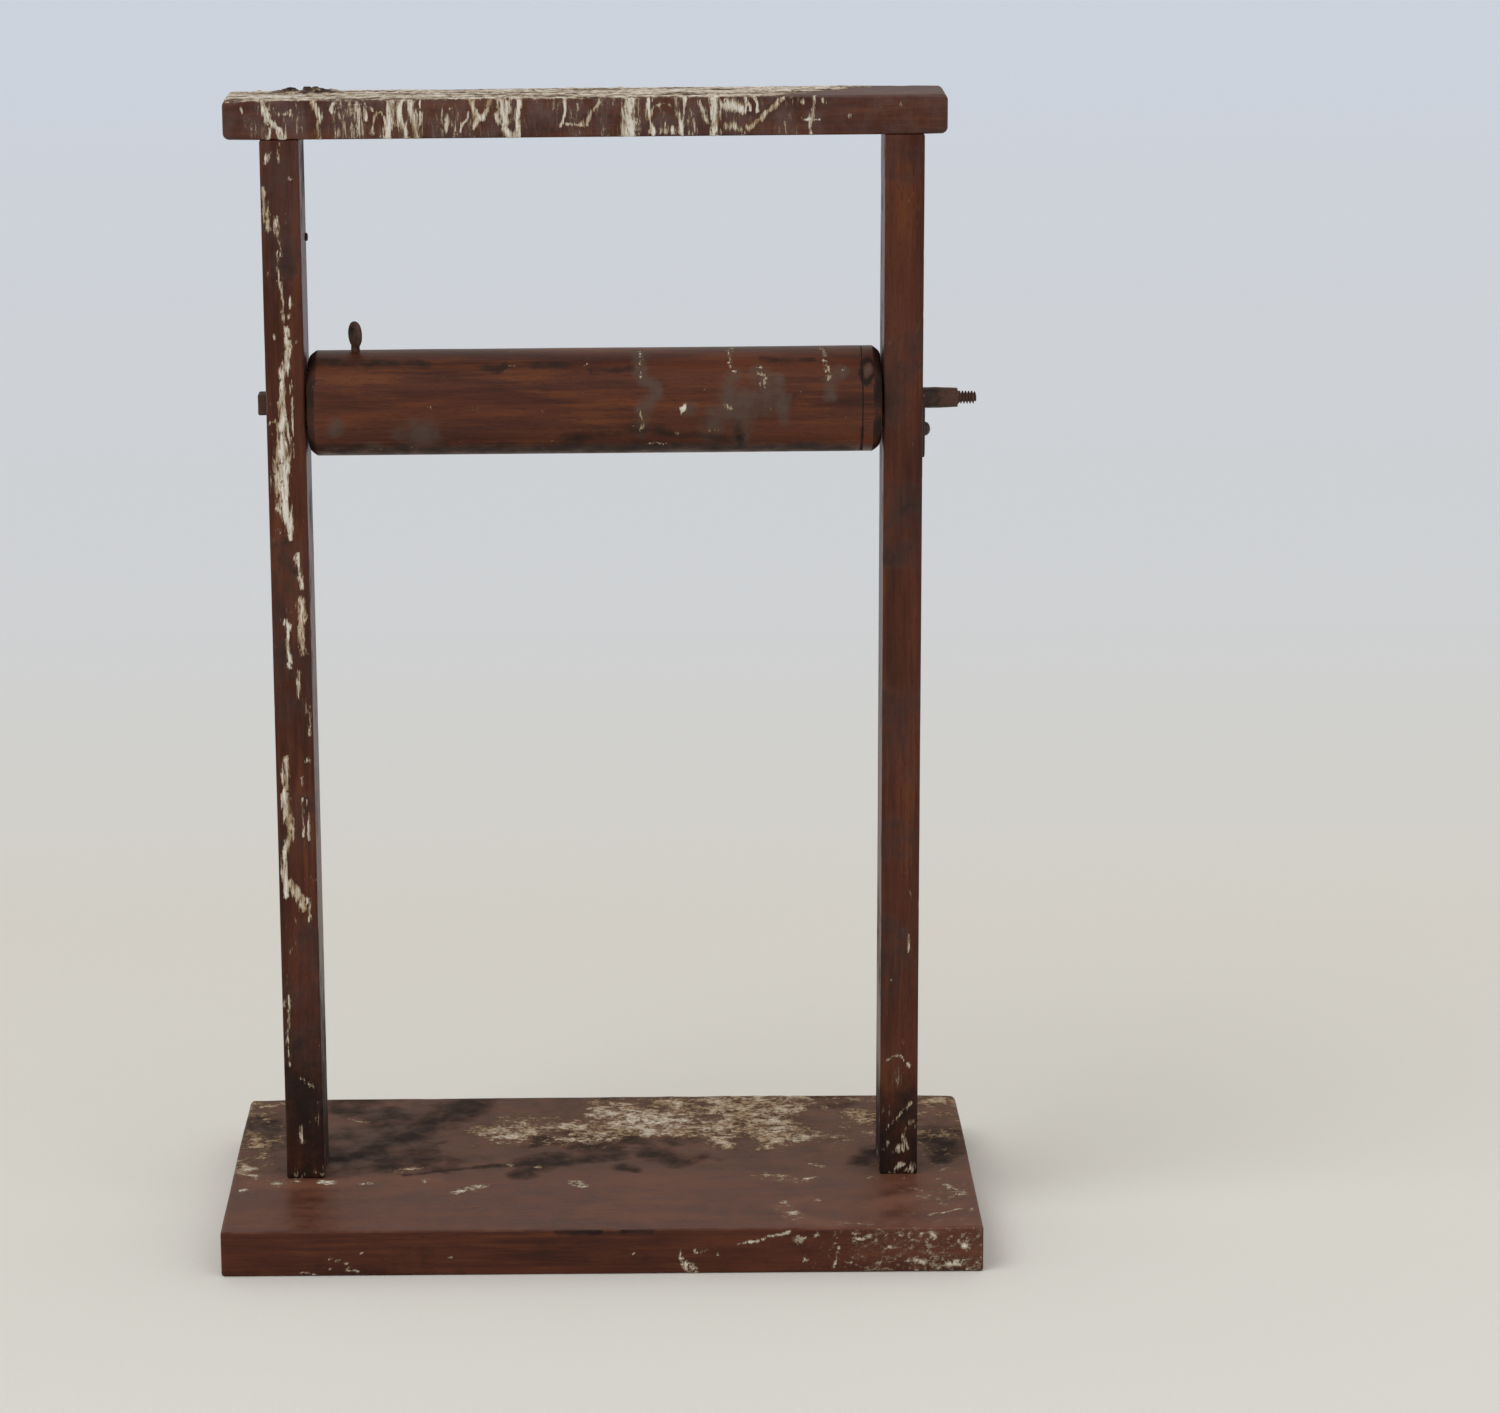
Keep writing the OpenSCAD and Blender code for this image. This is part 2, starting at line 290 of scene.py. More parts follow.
def spun(along: Array, radius: Callable[[Array, Array], Array], around: int,
         lift: Callable[[Array, Array], Array] | None = None) -> Surface:
    """A closed skin round the X axis: in row i and at angle a, it is radius(i, a) from the axis.

    Args:
        along: places along X in rising order; a place may be repeated to make a step.
        radius: gives the radius from arrays of row numbers and angles of equal shape.
        around: how many points go round.
        lift: adds to x, from the same two arrays.

    Returns:
        The surface; angle 0 is +Y and a quarter turn is +Z.
    """
    angle = np.linspace(0, 2 * np.pi, around, endpoint=False)
    row, turn = np.meshgrid(np.arange(len(along)), angle, indexing="ij")
    reach = radius(row, turn)
    x = along[row] + (lift(row, turn) if lift else 0.0)
    rings = np.stack([x, reach * np.cos(turn), reach * np.sin(turn)], axis=-1)
    return loft(rings[:, ::-1])


def read_points(data: bpy.types.Mesh, what: str = "co") -> Array:
    """Reads a mesh's points.

    Args:
        data: the mesh.
        what: "co" for the places, anything else for the normals.

    Returns:
        One row of three for each point.
    """
    flat = np.zeros(len(data.vertices) * 3, np.float32)
    if what == "co":
        data.vertices.foreach_get("co", flat)
    else:
        data.vertex_normals.foreach_get("vector", flat)
    return flat.reshape(-1, 3).astype(float)


# ---------------------------------------------------------------- marks on the wood

class Face(Enum):
    """A face that marks are laid out on: the axes of its two coordinates, and the way it looks."""

    FRONT = (0, 2, FORWARD)
    TOP = (0, 1, UP)


@dataclass(frozen=True)
class Wander:
    """A noise that bends the borders of marks: its pattern size and its reach, in mm."""

    size: float
    reach: float
    seed: int
    octaves: int = 3

    def shift(self, spots: Array) -> Array:
        """Shifts of both flat coordinates at each point."""
        pair = [cloud(spots, self.size, seed, self.octaves) for seed in (self.seed, self.seed + 1)]
        return self.reach * (np.stack(pair, axis=1) - 0.5)


FLAT_WANDER = (Wander(5.0, 1.6, 11), Wander(1.7, 1.3, 13, 2))
ROLLER_WANDER = (Wander(7.0, 2.6, 70), Wander(2.0, 1.5, 76))
RUN_STRETCH = np.array([1.0, 1.0, 0.4])  # on a front face the wander is drawn out downwards


@dataclass(frozen=True)
class Stroke:
    """A mark along a bent line. Each point is (first coordinate, second coordinate, width), in mm.

    Its strength runs out at half_share of the width from the line.
    """

    path: tuple[Triple, ...]
    weight: float = 1.0
    half_share: float = 0.62

    def field(self, flat: Array) -> Array:
        """The mark's strength: sqrt(1 - gap / half width) times its weight, and 0 outside it.

        Args:
            flat: the two coordinates of each point on the face, in mm.

        Returns:
            One number for each point.
        """
        best = np.full(len(flat), -1.0)
        path = np.array(self.path if len(self.path) > 1 else self.path * 2, float)
        for start, end in zip(path[:-1], path[1:]):
            way = end[:2] - start[:2]
            length = max(float(way @ way), 1e-9)
            part = np.clip(((flat - start[:2]) @ way) / length, 0.0, 1.0)
            gap = np.linalg.norm(flat - start[:2] - part[:, None] * way, axis=1)
            half = self.half_share * (start[2] + part * (end[2] - start[2]))
            best = np.maximum(best, 1.0 - gap / half)
        return np.clip(best, 0.0, 1.0) ** 0.5 * self.weight


@dataclass(frozen=True)
class Marks:
    """All the marks of one kind on one face of a piece."""

    face: Face
    strokes: tuple[Stroke, ...]

    def field(self, spots: Array, normals: Array) -> Array:
        """The strongest stroke at each point, fading out where the surface turns away.

        Args:
            spots: points in millimetres.
            normals: their normals.

        Returns:
            One number for each point.
        """
        first, second, outwards = self.face.value
        flat = spots[:, [first, second]]
        run = spots * (1.0 if self.face is Face.TOP else RUN_STRETCH)
        for wander in FLAT_WANDER:
            flat = flat + wander.shift(run)
        strongest = np.max([stroke.field(flat) for stroke in self.strokes], axis=0)
        return strongest * facing(normals, outwards, 0.1, 0.6)


def strokes(*paths: tuple, weight: float = 0.85, wider: float = 1.0) -> tuple[Stroke, ...]:
    """Makes strokes of equal weight.

    Args:
        paths: one path for each stroke, as rows of (first coordinate, second coordinate, width).
        weight: the weight of each.
        wider: a factor on every width.

    Returns:
        The strokes.
    """
    return tuple(Stroke(tuple((across, up, width * wider) for across, up, width in path), weight)
                 for path in paths)


@dataclass
class Soil:
    """The old dirt on a wooden piece, worked out at every point of its mesh.

    chalk is the white and cream droppings, ochre their tan tint, soot the black stains and
    film the grey dust. Each is a number at a point: about 0 for none and 1 for plenty. level
    is 1 where dirt lies in crumbs and 0 where it runs down, even is 1 where it has no clumps,
    and lump is thick dirt in millimetres. crust adds what has no listed marks.
    """

    chalk: list[Marks] = field(default_factory=list)
    ochre: list[Marks] = field(default_factory=list)
    soot: list[Marks] = field(default_factory=list)
    film: list[Marks] = field(default_factory=list)
    crust: Callable[[Array, Array], dict[str, Array]] | None = None

    def layers(self, points: Array, normals: Array) -> dict[str, Array]:
        """Works out every layer.

        Args:
            points: points in metres.
            normals: their normals.

        Returns:
            Layer names and one number for each point.
        """
        spots = points / MM
        found = {"level": ramp(np.abs(normals[:, 2]), 0.4, 0.8)}
        for name in ("chalk", "ochre", "soot", "film"):
            found[name] = np.zeros(len(spots))
            for marks in getattr(self, name):
                found[name] = np.maximum(found[name], marks.field(spots, normals))
        if self.crust:
            for name, value in self.crust(spots, normals).items():
                found[name] = np.maximum(found.get(name, 0.0), value)
        return found


def dress(piece: bpy.types.Object, layers: dict[str, Array]) -> None:
    """Stores each layer on the piece as a point attribute of the same name."""
    for name, value in layers.items():
        attribute = piece.data.attributes.new(name, "FLOAT", "POINT")
        attribute.data.foreach_set("value", value.astype(np.float32))


# ---------------------------------------------------------------- shader building

class Sock:
    """An output socket that takes part in sums: an expression on values adds its Math nodes."""

    def __init__(self, shader: "Shader", socket: bpy.types.NodeSocket) -> None:
        """Wraps a socket of that shader's node tree."""
        self.shader, self.socket = shader, socket

    def _math(self, operation: str, first: object, second: object) -> "Sock":
        """A Math node with that operation on the two values."""
        return self.shader.node("ShaderNodeMath", {"operation": operation}, {0: first, 1: second})

    def __add__(self, other: object) -> "Sock":
        """self + other."""
        return self._math("ADD", self, other)

    def __radd__(self, other: object) -> "Sock":
        """other + self."""
        return self._math("ADD", other, self)

    def __sub__(self, other: object) -> "Sock":
        """self - other."""
        return self._math("SUBTRACT", self, other)

    def __rsub__(self, other: object) -> "Sock":
        """other - self."""
        return self._math("SUBTRACT", other, self)

    def __mul__(self, other: object) -> "Sock":
        """self times other."""
        return self._math("MULTIPLY", self, other)

    def __rmul__(self, other: object) -> "Sock":
        """other times self."""
        return self._math("MULTIPLY", other, self)

    def step(self, low: float, high: float) -> "Sock":
        """0 below low, 1 above high, smooth between them."""
        return self.shader.node("ShaderNodeMapRange", {"interpolation_type": "SMOOTHSTEP"},
                                {"Value": self, "From Min": low, "From Max": high})


class Shader:
    """A material under construction: one Principled shader and the nodes that feed it."""

    def __init__(self, name: str) -> None:
        """Starts the material with an empty tree."""
        self.material = bpy.data.materials.new(name)
        self.material.use_nodes = True
        self.tree = self.material.node_tree
        self.tree.nodes.clear()
        self.place = self.node("ShaderNodeTexCoord", out="Object")

    def node(self, kind: str, settings: dict | None = None, inputs: dict | None = None,
             out: int | str = 0) -> Sock:
        """Adds a node.

        Args:
            kind: the node's type.
            settings: its properties; "stops" are a colour ramp's (place, colour) pairs.
            inputs: the values or links of its sockets, by name or number.
            out: which output is returned.

        Returns:
            That output.
        """
        made = self.tree.nodes.new(kind)
        for key, value in (settings or {}).items():
            if key == "stops":
                while len(made.color_ramp.elements) < len(value):
                    made.color_ramp.elements.new(1.0)
                for element, (at, colour) in zip(made.color_ramp.elements, value):
                    element.position, element.color = at, (*colour, 1.0)
            else:
                setattr(made, key, value)
        for key, value in (inputs or {}).items():
            socket = made.inputs[key]
            if isinstance(value, Sock):
                self.tree.links.new(value.socket, socket)
            elif socket.type == "RGBA":
                socket.default_value = (*value, 1.0)
            else:
                socket.default_value = value
        return Sock(self, made.outputs[out])

    def mapping(self, scale: Triple) -> Sock:
        """The place on the piece with each axis scaled."""
        return self.node("ShaderNodeMapping", None, {"Vector": self.place, "Scale": scale})

    def noise(self, vector: Sock, scale: float, detail: float = 3.0, roughness: float = 0.55,
              distortion: float = 0.0) -> Sock:
        """Fractal noise from 0 to 1; scale is in patterns to the metre."""
        return self.node("ShaderNodeTexNoise", None, {
            "Vector": vector, "Scale": scale, "Detail": detail, "Roughness": roughness,
            "Distortion": distortion})

    def mix(self, factor: object, first: object, second: object) -> Sock:
        """A colour between two colours."""
        return self.node("ShaderNodeMix", {"data_type": "RGBA"}, {0: factor, 6: first, 7: second}, 2)

    def stops(self, value: Sock, *stops: tuple[float, Colour]) -> Sock:
        """A colour from a ramp."""
        return self.node("ShaderNodeValToRGB", {"stops": stops}, {"Fac": value})

    def layer(self, name: str) -> Sock:
        """A point attribute of the piece."""
        return self.node("ShaderNodeAttribute", {"attribute_name": name}, out="Fac")

    def finish(self, colour: Sock, roughness: Sock, height: Sock, depth: float,
               constants: dict | None = None, metallic: object = 0.0) -> bpy.types.Material:
        """Joins colour, roughness and relief to the shader and its output.

        Args:
            colour: base colour.
            roughness: roughness.
            height: relief, from 0 to 1.
            depth: metres of relief for 1.
            constants: numbers set on the shader's own sockets.
            metallic: how metallic it is.

        Returns:
            The finished material.
        """
        normal = self.node("ShaderNodeBump", None, {
            "Strength": 1.0, "Distance": depth, "Height": height})
        surface = self.node("ShaderNodeBsdfPrincipled", None, {
            "Base Color": colour, "Roughness": roughness, "Metallic": metallic, "Normal": normal,
            **(constants or {})})
        output = self.tree.nodes.new("ShaderNodeOutputMaterial")
        self.tree.links.new(surface.socket, output.inputs["Surface"])
        return self.material


class Grain(Enum):
    """The way the grain of a piece runs: 0 for along X, 2 for along Z."""

    ALONG_X = 0
    ALONG_Z = 2

    def stretched(self, slower: float) -> Triple:
        """Scales of the three axes, with the pattern slowed down along the grain."""
        return tuple(slower if axis == self.value else 1.0 for axis in range(3))


@dataclass(frozen=True)
class OldMahogany:
    """Oiled mahogany with streaked grain, dirt in its pores and dirt on top of it.

    coarse is the share of the broad figure in its tone, warmth that of its orange patches,
    gloss its roughness where clean and depth the height of its relief in metres.
    """

    name: str
    grain: Grain
    dark: Colour = (0.040, 0.0118, 0.0075)
    middle: Colour = (0.076, 0.0210, 0.0110)
    bright: Colour = (0.115, 0.0325, 0.0148)
    orange: Colour = (0.160, 0.0480, 0.0150)
    chalk_stops: tuple[tuple[float, Colour], ...] = (
        (0.15, (0.14, 0.092, 0.062)), (0.38, (0.38, 0.245, 0.140)), (0.60, (0.58, 0.49, 0.37)),
        (0.84, (0.88, 0.85, 0.79)))
    film_grey: Colour = (0.204, 0.091, 0.058)
    film_brown: Colour = (0.095, 0.058, 0.036)
    # The near black of soot stains, also used for painted shade on the roller's end faces and chamfers.
    soot_and_shade_black: Colour = (0.010, 0.0068, 0.0055)
    coarse: float = 0.50
    warmth: float = 0.45
    gloss: float = 0.36
    sheen: float = 0.16
    depth: float = 0.2 * MM

    def material(self) -> bpy.types.Material:
        """Builds the material: wood, then its pores, its dust, its soot (on the roller's end faces, painted
        shade) and its droppings.
        """
        s = Shader(self.name)
        figure = s.noise(s.mapping(self.grain.stretched(0.16)), 80.0, 3.0, 0.5, 0.4)
        streak = s.noise(s.mapping(self.grain.stretched(0.055)), 520.0, 4.0, 0.6, 0.15)
        fibre = s.noise(s.mapping(self.grain.stretched(0.04)), 2100.0, 2.0, 0.6)
        tone = figure * self.coarse + streak * (0.82 - self.coarse) + fibre * 0.18
        wood = s.stops(tone, (0.37, self.dark), (0.50, self.middle), (0.63, self.bright))
        warm = s.noise(s.mapping(self.grain.stretched(0.35)), 60.0, 3.0, 0.5, 0.5)
        wood = s.mix((warm + (streak - 0.5) * 0.6).step(0.52, 0.74) * self.warmth, wood, self.orange)
        pores = s.noise(s.mapping(self.grain.stretched(0.13)), 2300.0, 1.0, 0.5).step(0.58, 0.70)
        wood = s.mix(pores * 0.5, wood, self.dark)

        # Dirt in runs on upright faces and in crumbs on level ones, eaten into by small pits.
        level = s.layer("level")
        hanging = s.noise(s.mapping((1.0, 1.0, 0.16)), 800.0, 5.0, 0.72, 0.8)
        lying = s.noise(s.mapping((0.75, 1.0, 1.0)), 560.0, 7.0, 0.80, 0.1)
        clumps = (s.noise(s.place, 210.0, 4.0, 0.65, 0.3) - 0.5) * (1.0 - s.layer("even"))
        lying = lying * 0.62 + clumps * 0.42 + 0.19
        crumb = (hanging * (1.0 - level) + lying * level).step(0.34, 0.66)
        smear = s.noise(s.place, 130.0, 6.0, 0.62, 0.3)
        field_of_chalk = s.layer("chalk")
        pits = s.noise(s.mapping((1.0, 1.0, 0.5)), 750.0, 3.0, 0.6, 0.3).step(0.56, 0.66)
        chalk = (field_of_chalk + (crumb - 0.5) * 1.05 - pits * 0.45).step(0.20, 0.72)
        chalk = chalk * field_of_chalk.step(0.01, 0.18)
        value = field_of_chalk * 0.52 + crumb * 0.54 - pits * 0.16
        value = value - s.layer("ochre") * (0.14 + smear * 0.40)
        patch = s.stops(value, *self.chalk_stops)
        film = (s.layer("film") + (smear - 0.5) * 1.2 + (crumb - 0.5) * 0.15).step(-0.05, 1.15)
        film = film * s.layer("film").step(0.0, 0.4)
        # The soot layer is black stains, and on the roller's end faces and chamfers it is painted shade.
        soot = (s.layer("soot") + (smear - 0.5) * 1.4).step(0.05, 0.95)
        soot = soot * s.layer("soot").step(0.0, 0.3)

        # The layers go on top of each other, and the thick ones stand up in the relief.
        dust = s.mix(s.layer("ochre"), self.film_grey, self.film_brown)
        colour = s.mix(film * 0.8, wood, dust)
        colour = s.mix(soot * 0.90, colour, self.soot_and_shade_black)
        colour = s.mix(chalk * 0.93, colour, patch)
        rough = self.gloss + (streak - 0.5) * 0.15 + film * 0.22 + soot * 0.30 + chalk * 0.45
        height = fibre * 0.12 - pores * 0.22 + chalk * (0.4 + crumb * 0.7) + film * crumb * 0.2
        return s.finish(colour, rough, height, self.depth, {"Specular IOR Level": self.sheen})


@dataclass(frozen=True)
class OldIron:
    """Wrought iron: a dark skin with a little shine, and rust that has eaten into a share of it."""

    name: str
    rust_share: float
    skin: Colour = (0.045, 0.032, 0.028)
    rust_dark: Colour = (0.050, 0.025, 0.018)
    rust_light: Colour = (0.138, 0.061, 0.040)
    depth: float = 0.18 * MM

    def material(self) -> bpy.types.Material:
        """Builds the material."""
        s = Shader(self.name)
        patches = s.noise(s.place, 350.0, 5.0, 0.6, 0.3)
        grit = s.noise(s.place, 2200.0, 4.0, 0.65)
        eaten = patches + (grit - 0.5) * 0.4 + s.layer("rust") * 0.4
        sound = 0.66 - self.rust_share * 0.4
        rust = eaten.step(sound, sound + 0.14)
        rusty = s.mix(grit.step(0.35, 0.68), self.rust_dark, self.rust_light)
        colour = s.mix(rust, self.skin, rusty)
        rough = 0.30 + rust * 0.50 + (grit - 0.5) * 0.2
        metal = 0.75 - rust * 0.7
        height = grit * (0.3 + rust * 0.7)
        return s.finish(colour, rough, height, self.depth, metallic=metal)


# ---------------------------------------------------------------- pieces of the model

def add(name: str, shape: Surface, body: str, nodes: tuple[str, ...],
        material: bpy.types.Material) -> bpy.types.Object:
    """Makes a piece of a surface.

    Args:
        name: the piece's name.
        shape: its surface, in place.
        body: the body that it rides on.
        nodes: the CAD nodes that it stands for.
        material: its finish.

    Returns:
        The new object, at the origin.
    """
    piece = bpy.data.objects.new(name, shape.mesh(name))
    bpy.context.scene.collection.objects.link(piece)
    piece.data.materials.append(material)
    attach(piece, body)
    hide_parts(*nodes)
    return piece


def centre_and_size(node: str) -> tuple[Array, Array]:
    """The middle and the three sizes of a CAD node's box, in metres."""
    low, high = (np.array(corner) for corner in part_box(node))
    return (low + high) / 2, high - low


def relief(piece: bpy.types.Object, amount: Callable[[Array, Array], Array]) -> None:
    """Moves each point of a piece along its normal by amount(points, normals) metres."""
    points, normals = read_points(piece.data), read_points(piece.data, "normal")
    shifted = points + normals * amount(points, normals)[:, None]
    piece.data.vertices.foreach_set("co", shifted.astype(np.float32).ravel())
    piece.data.update()


def wooden(piece: bpy.types.Object, soil: Soil, waves: float, bumps: float) -> None:
    """Gives a wooden piece its hand-planed waves, its dirt and the dirt's thickness.

    Args:
        piece: the piece, in place.
        soil: its dirt.
        waves: height of the long waves, in metres.
        bumps: thickness of a full layer of droppings, in metres.
    """
    def amount(points: Array, normals: Array) -> Array:
        """Long waves, small dents, and droppings with a crumbly top. An underside stays flat."""
        found = soil.layers(points, normals)
        above = 1 - ramp(-normals[:, 2], 0.2, 0.6)
        swell = (cloud(points, 0.060, 3) - 0.5) * waves * 2 * above
        dents = -ramp(cloud(points, 0.011, 5), 0.66, 0.85) * waves * above
        crumbs = ramp(found["chalk"] * (0.4 + cloud(points, 0.0022, 9)), 0.2, 0.9)
        lumps = found.get("lump", 0.0) * MM
        return swell + dents + crumbs * bumps * (0.4 + 1.2 * cloud(points, 0.0016, 8)) + lumps
    relief(piece, amount)
    dress(piece, soil.layers(read_points(piece.data), read_points(piece.data, "normal")))
    piece.data.set_sharp_from_angle(angle=np.radians(38))


class Side(Enum):
    """The two ends of the stand, as they are called in the names of the CAD nodes."""

    LEFT = "left"
    RIGHT = "right"


@dataclass
class Stand:
    """The base board, the two posts and the rail.

    A step is the spacing of a piece's points, a rim the finer strip along its edges, waves the
    height of its hand-planed waves and bumps the thickness of a full layer of droppings.
    """

    body: str = "stand"
    board_step: float = 1.05 * MM
    post_step: float = 0.72 * MM
    rail_step: float = 0.56 * MM
    wide_rim: float = 2.8 * MM
    post_rim: float = 2.4 * MM
    board_waves: float = 0.12 * MM
    waves: float = 0.10 * MM
    board_bumps: float = 0.28 * MM
    bumps: float = 0.22 * MM
    wood_x: bpy.types.Material = field(
        default_factory=OldMahogany("mahogany_grain_x", Grain.ALONG_X).material)
    wood_z: bpy.types.Material = field(default_factory=OldMahogany(
        "mahogany_grain_z", Grain.ALONG_Z, film_grey=(0.150, 0.104, 0.104)).material)
    rail_wood: bpy.types.Material = field(default_factory=OldMahogany(
        "rail_mahogany", Grain.ALONG_X, film_grey=(0.158, 0.108, 0.108)).material)

    def base_board(self) -> bpy.types.Object:
        """The board, its front corners crisp and its back corners worn."""
        middle, size = centre_and_size("base_board")

        def ease(points: Array) -> Array:
            """Edge radius: larger towards the back corners, wavering with wear."""
            back = ramp(points[:, 1], 0.03, 0.07) * ramp(np.abs(points[:, 0]), 0.12, 0.136)
            return MM * (0.7 + 0.7 * cloud(points, 0.02, 21) + 1.3 * back)

        shape = block(size, self.board_step, self.wide_rim, 4, ease).moved(*middle)
        piece = add("board", shape, self.body, ("base_board",), self.wood_x)
        wooden(piece, Soil(
            chalk=[Marks(Face.TOP, BOARD_CHALK), Marks(Face.FRONT, EDGE_CHALK)],
            ochre=[Marks(Face.TOP, BOARD_OCHRE)],
            soot=[Marks(Face.TOP, BOARD_SOOT), Marks(Face.FRONT, EDGE_SOOT)],
            film=[Marks(Face.TOP, BOARD_FILM)],
            crust=board_crust), self.board_waves, self.board_bumps)
        return piece

    def post(self, side: Side) -> bpy.types.Object:
        """A post, from the board's top to the rail's underside, without its hidden tenons.

        Args:
            side: the end that it stands at.

        Returns:
            The piece.
        """
        node = f"{side.value}_post"
        middle, size = centre_and_size(node)
        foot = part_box("base_board")[1].z
        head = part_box("top_rail")[0].z
        size[2], middle[2] = head - foot, (head + foot) / 2
        is_left = side is Side.LEFT

        def ease(points: Array) -> Array:
            """Edge radius: crisp, wavering, and knocked off beside the pivot screw's head."""
            chip = ramp(points[:, 2], 0.0955, 0.0985) * (1 - ramp(points[:, 2], 0.101, 0.106))
            chip = chip * (points[:, 0] < 0) * (points[:, 1] < 0) * is_left
            return MM * (0.5 + 0.6 * cloud(points, 0.03, 22) + 1.5 * chip)

        shape = block(size, self.post_step, self.post_rim, 4, ease).moved(*middle)
        name = f"{side.value}_upright"
        piece = add(name, shape, self.body, (node,), self.wood_z)
        wooden(piece, Soil(
            chalk=[Marks(Face.FRONT, LEFT_POST_CHALK if is_left else RIGHT_POST_CHALK)],
            ochre=[Marks(Face.FRONT, LEFT_POST_OCHRE)] if is_left else [],
            crust=post_crust), self.waves, self.bumps)
        return piece

    def top_rail(self) -> bpy.types.Object:
        """The rail, rounded at its ends, with droppings run down its front."""
        middle, size = centre_and_size("top_rail")

        def ease(points: Array) -> Array:
            """Edge radius: worn along the top, more at the ends."""
            ends = ramp(np.abs(points[:, 0]), 0.115, 0.128)
            return MM * (0.8 + 0.8 * cloud(points, 0.015, 23) + 1.2 * ends)

        shape = block(size, self.rail_step, self.wide_rim, 5, ease).moved(*middle)
        piece = add("rail", shape, self.body, ("top_rail",), self.rail_wood)
        wooden(piece, Soil(
            chalk=[Marks(Face.FRONT, RAIL_CHALK)],
            ochre=[Marks(Face.FRONT, RAIL_OCHRE)],
            film=[Marks(Face.FRONT, RAIL_FILM)],
            crust=rail_crust), self.waves, self.bumps)
        return piece

    def build(self) -> list[bpy.types.Object]:
        """Builds the four wooden pieces."""
        return [self.base_board(), self.post(Side.LEFT), self.post(Side.RIGHT), self.top_rail()]


@dataclass
class Roller:
    """The wooden roller and its end cap."""

    body: str = "roller"
    step: float = 0.8 * MM
    around: int = 160
    chamfer: float = 3.0 * MM
    joint: float = 0.25 * MM
    face_rows: int = 24
    waves: float = 0.12 * MM
    wood: bpy.types.Material = field(default_factory=OldMahogany(
        "roller_mahogany", Grain.ALONG_X, dark=(0.038, 0.0118, 0.0080),
        middle=(0.080, 0.0228, 0.0120), bright=(0.132, 0.0372, 0.0152),
        film_grey=(0.100, 0.080, 0.072), coarse=0.62, warmth=0.68, sheen=0.20).material)

    def build(self) -> list[bpy.types.Object]:
        """Builds the barrel and the cap."""
        return [self.part("barrel", "roller_barrel", True), self.part("end_cap", "roller_cap", False)]

    def part(self, name: str, node: str, is_barrel: bool) -> bpy.types.Object:
        """A turned length of the roller, chamfered at its outer end and eased at its joint.

        Its section is a face, a bevel between a straight and a round one, the straight side,
        and the same again in reverse.

        Args:
            name: the piece's name.
            node: the CAD node that it stands for.
            is_barrel: its outer end is the left one.

        Returns:
            The piece.
        """
        low, high = (np.array(corner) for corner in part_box(node))
        middle = (low + high) / 2
        radius = (high[2] - low[2]) / 2
        length = high[0] - low[0]
        near, far = (self.chamfer, self.joint) if is_barrel else (self.joint, self.chamfer)
        bevel = np.linspace(0, 1, 9)
        round_bevel = 0.55 * bevel + 0.45 * np.sqrt(1 - (1 - bevel) ** 2)
        face = np.linspace(0.02, 1, self.face_rows)
        side = np.linspace(near, length - far, max(8, round(length / self.step)))
        along = np.concatenate([np.zeros(self.face_rows), near * bevel, side,
                                length - far * bevel[::-1], np.full(self.face_rows, length)])
        reach = np.concatenate([face * (radius - near), radius - near + near * round_bevel,
                                np.full(len(side), radius), radius - far + far * round_bevel[::-1],
                                (radius - far) * face[::-1]])
        shape = spun(along, lambda row, turn: reach[row], self.around)
        shape = shape.moved(low[0], middle[1], middle[2])
        piece = add(name, shape, self.body, (node,), self.wood)
        relief(piece, lambda points, normals: (cloud(points, 0.03, 31) - 0.5) * self.waves)
        axis = np.array([0, middle[1], middle[2]])
        points, normals = read_points(piece.data), read_points(piece.data, "normal")
        dress(piece, roller_layers(points, normals, axis, radius))
        piece.data.set_sharp_from_angle(angle=np.radians(38))
        return piece


# Marks, in millimetres on their face: (across, up or back, width).

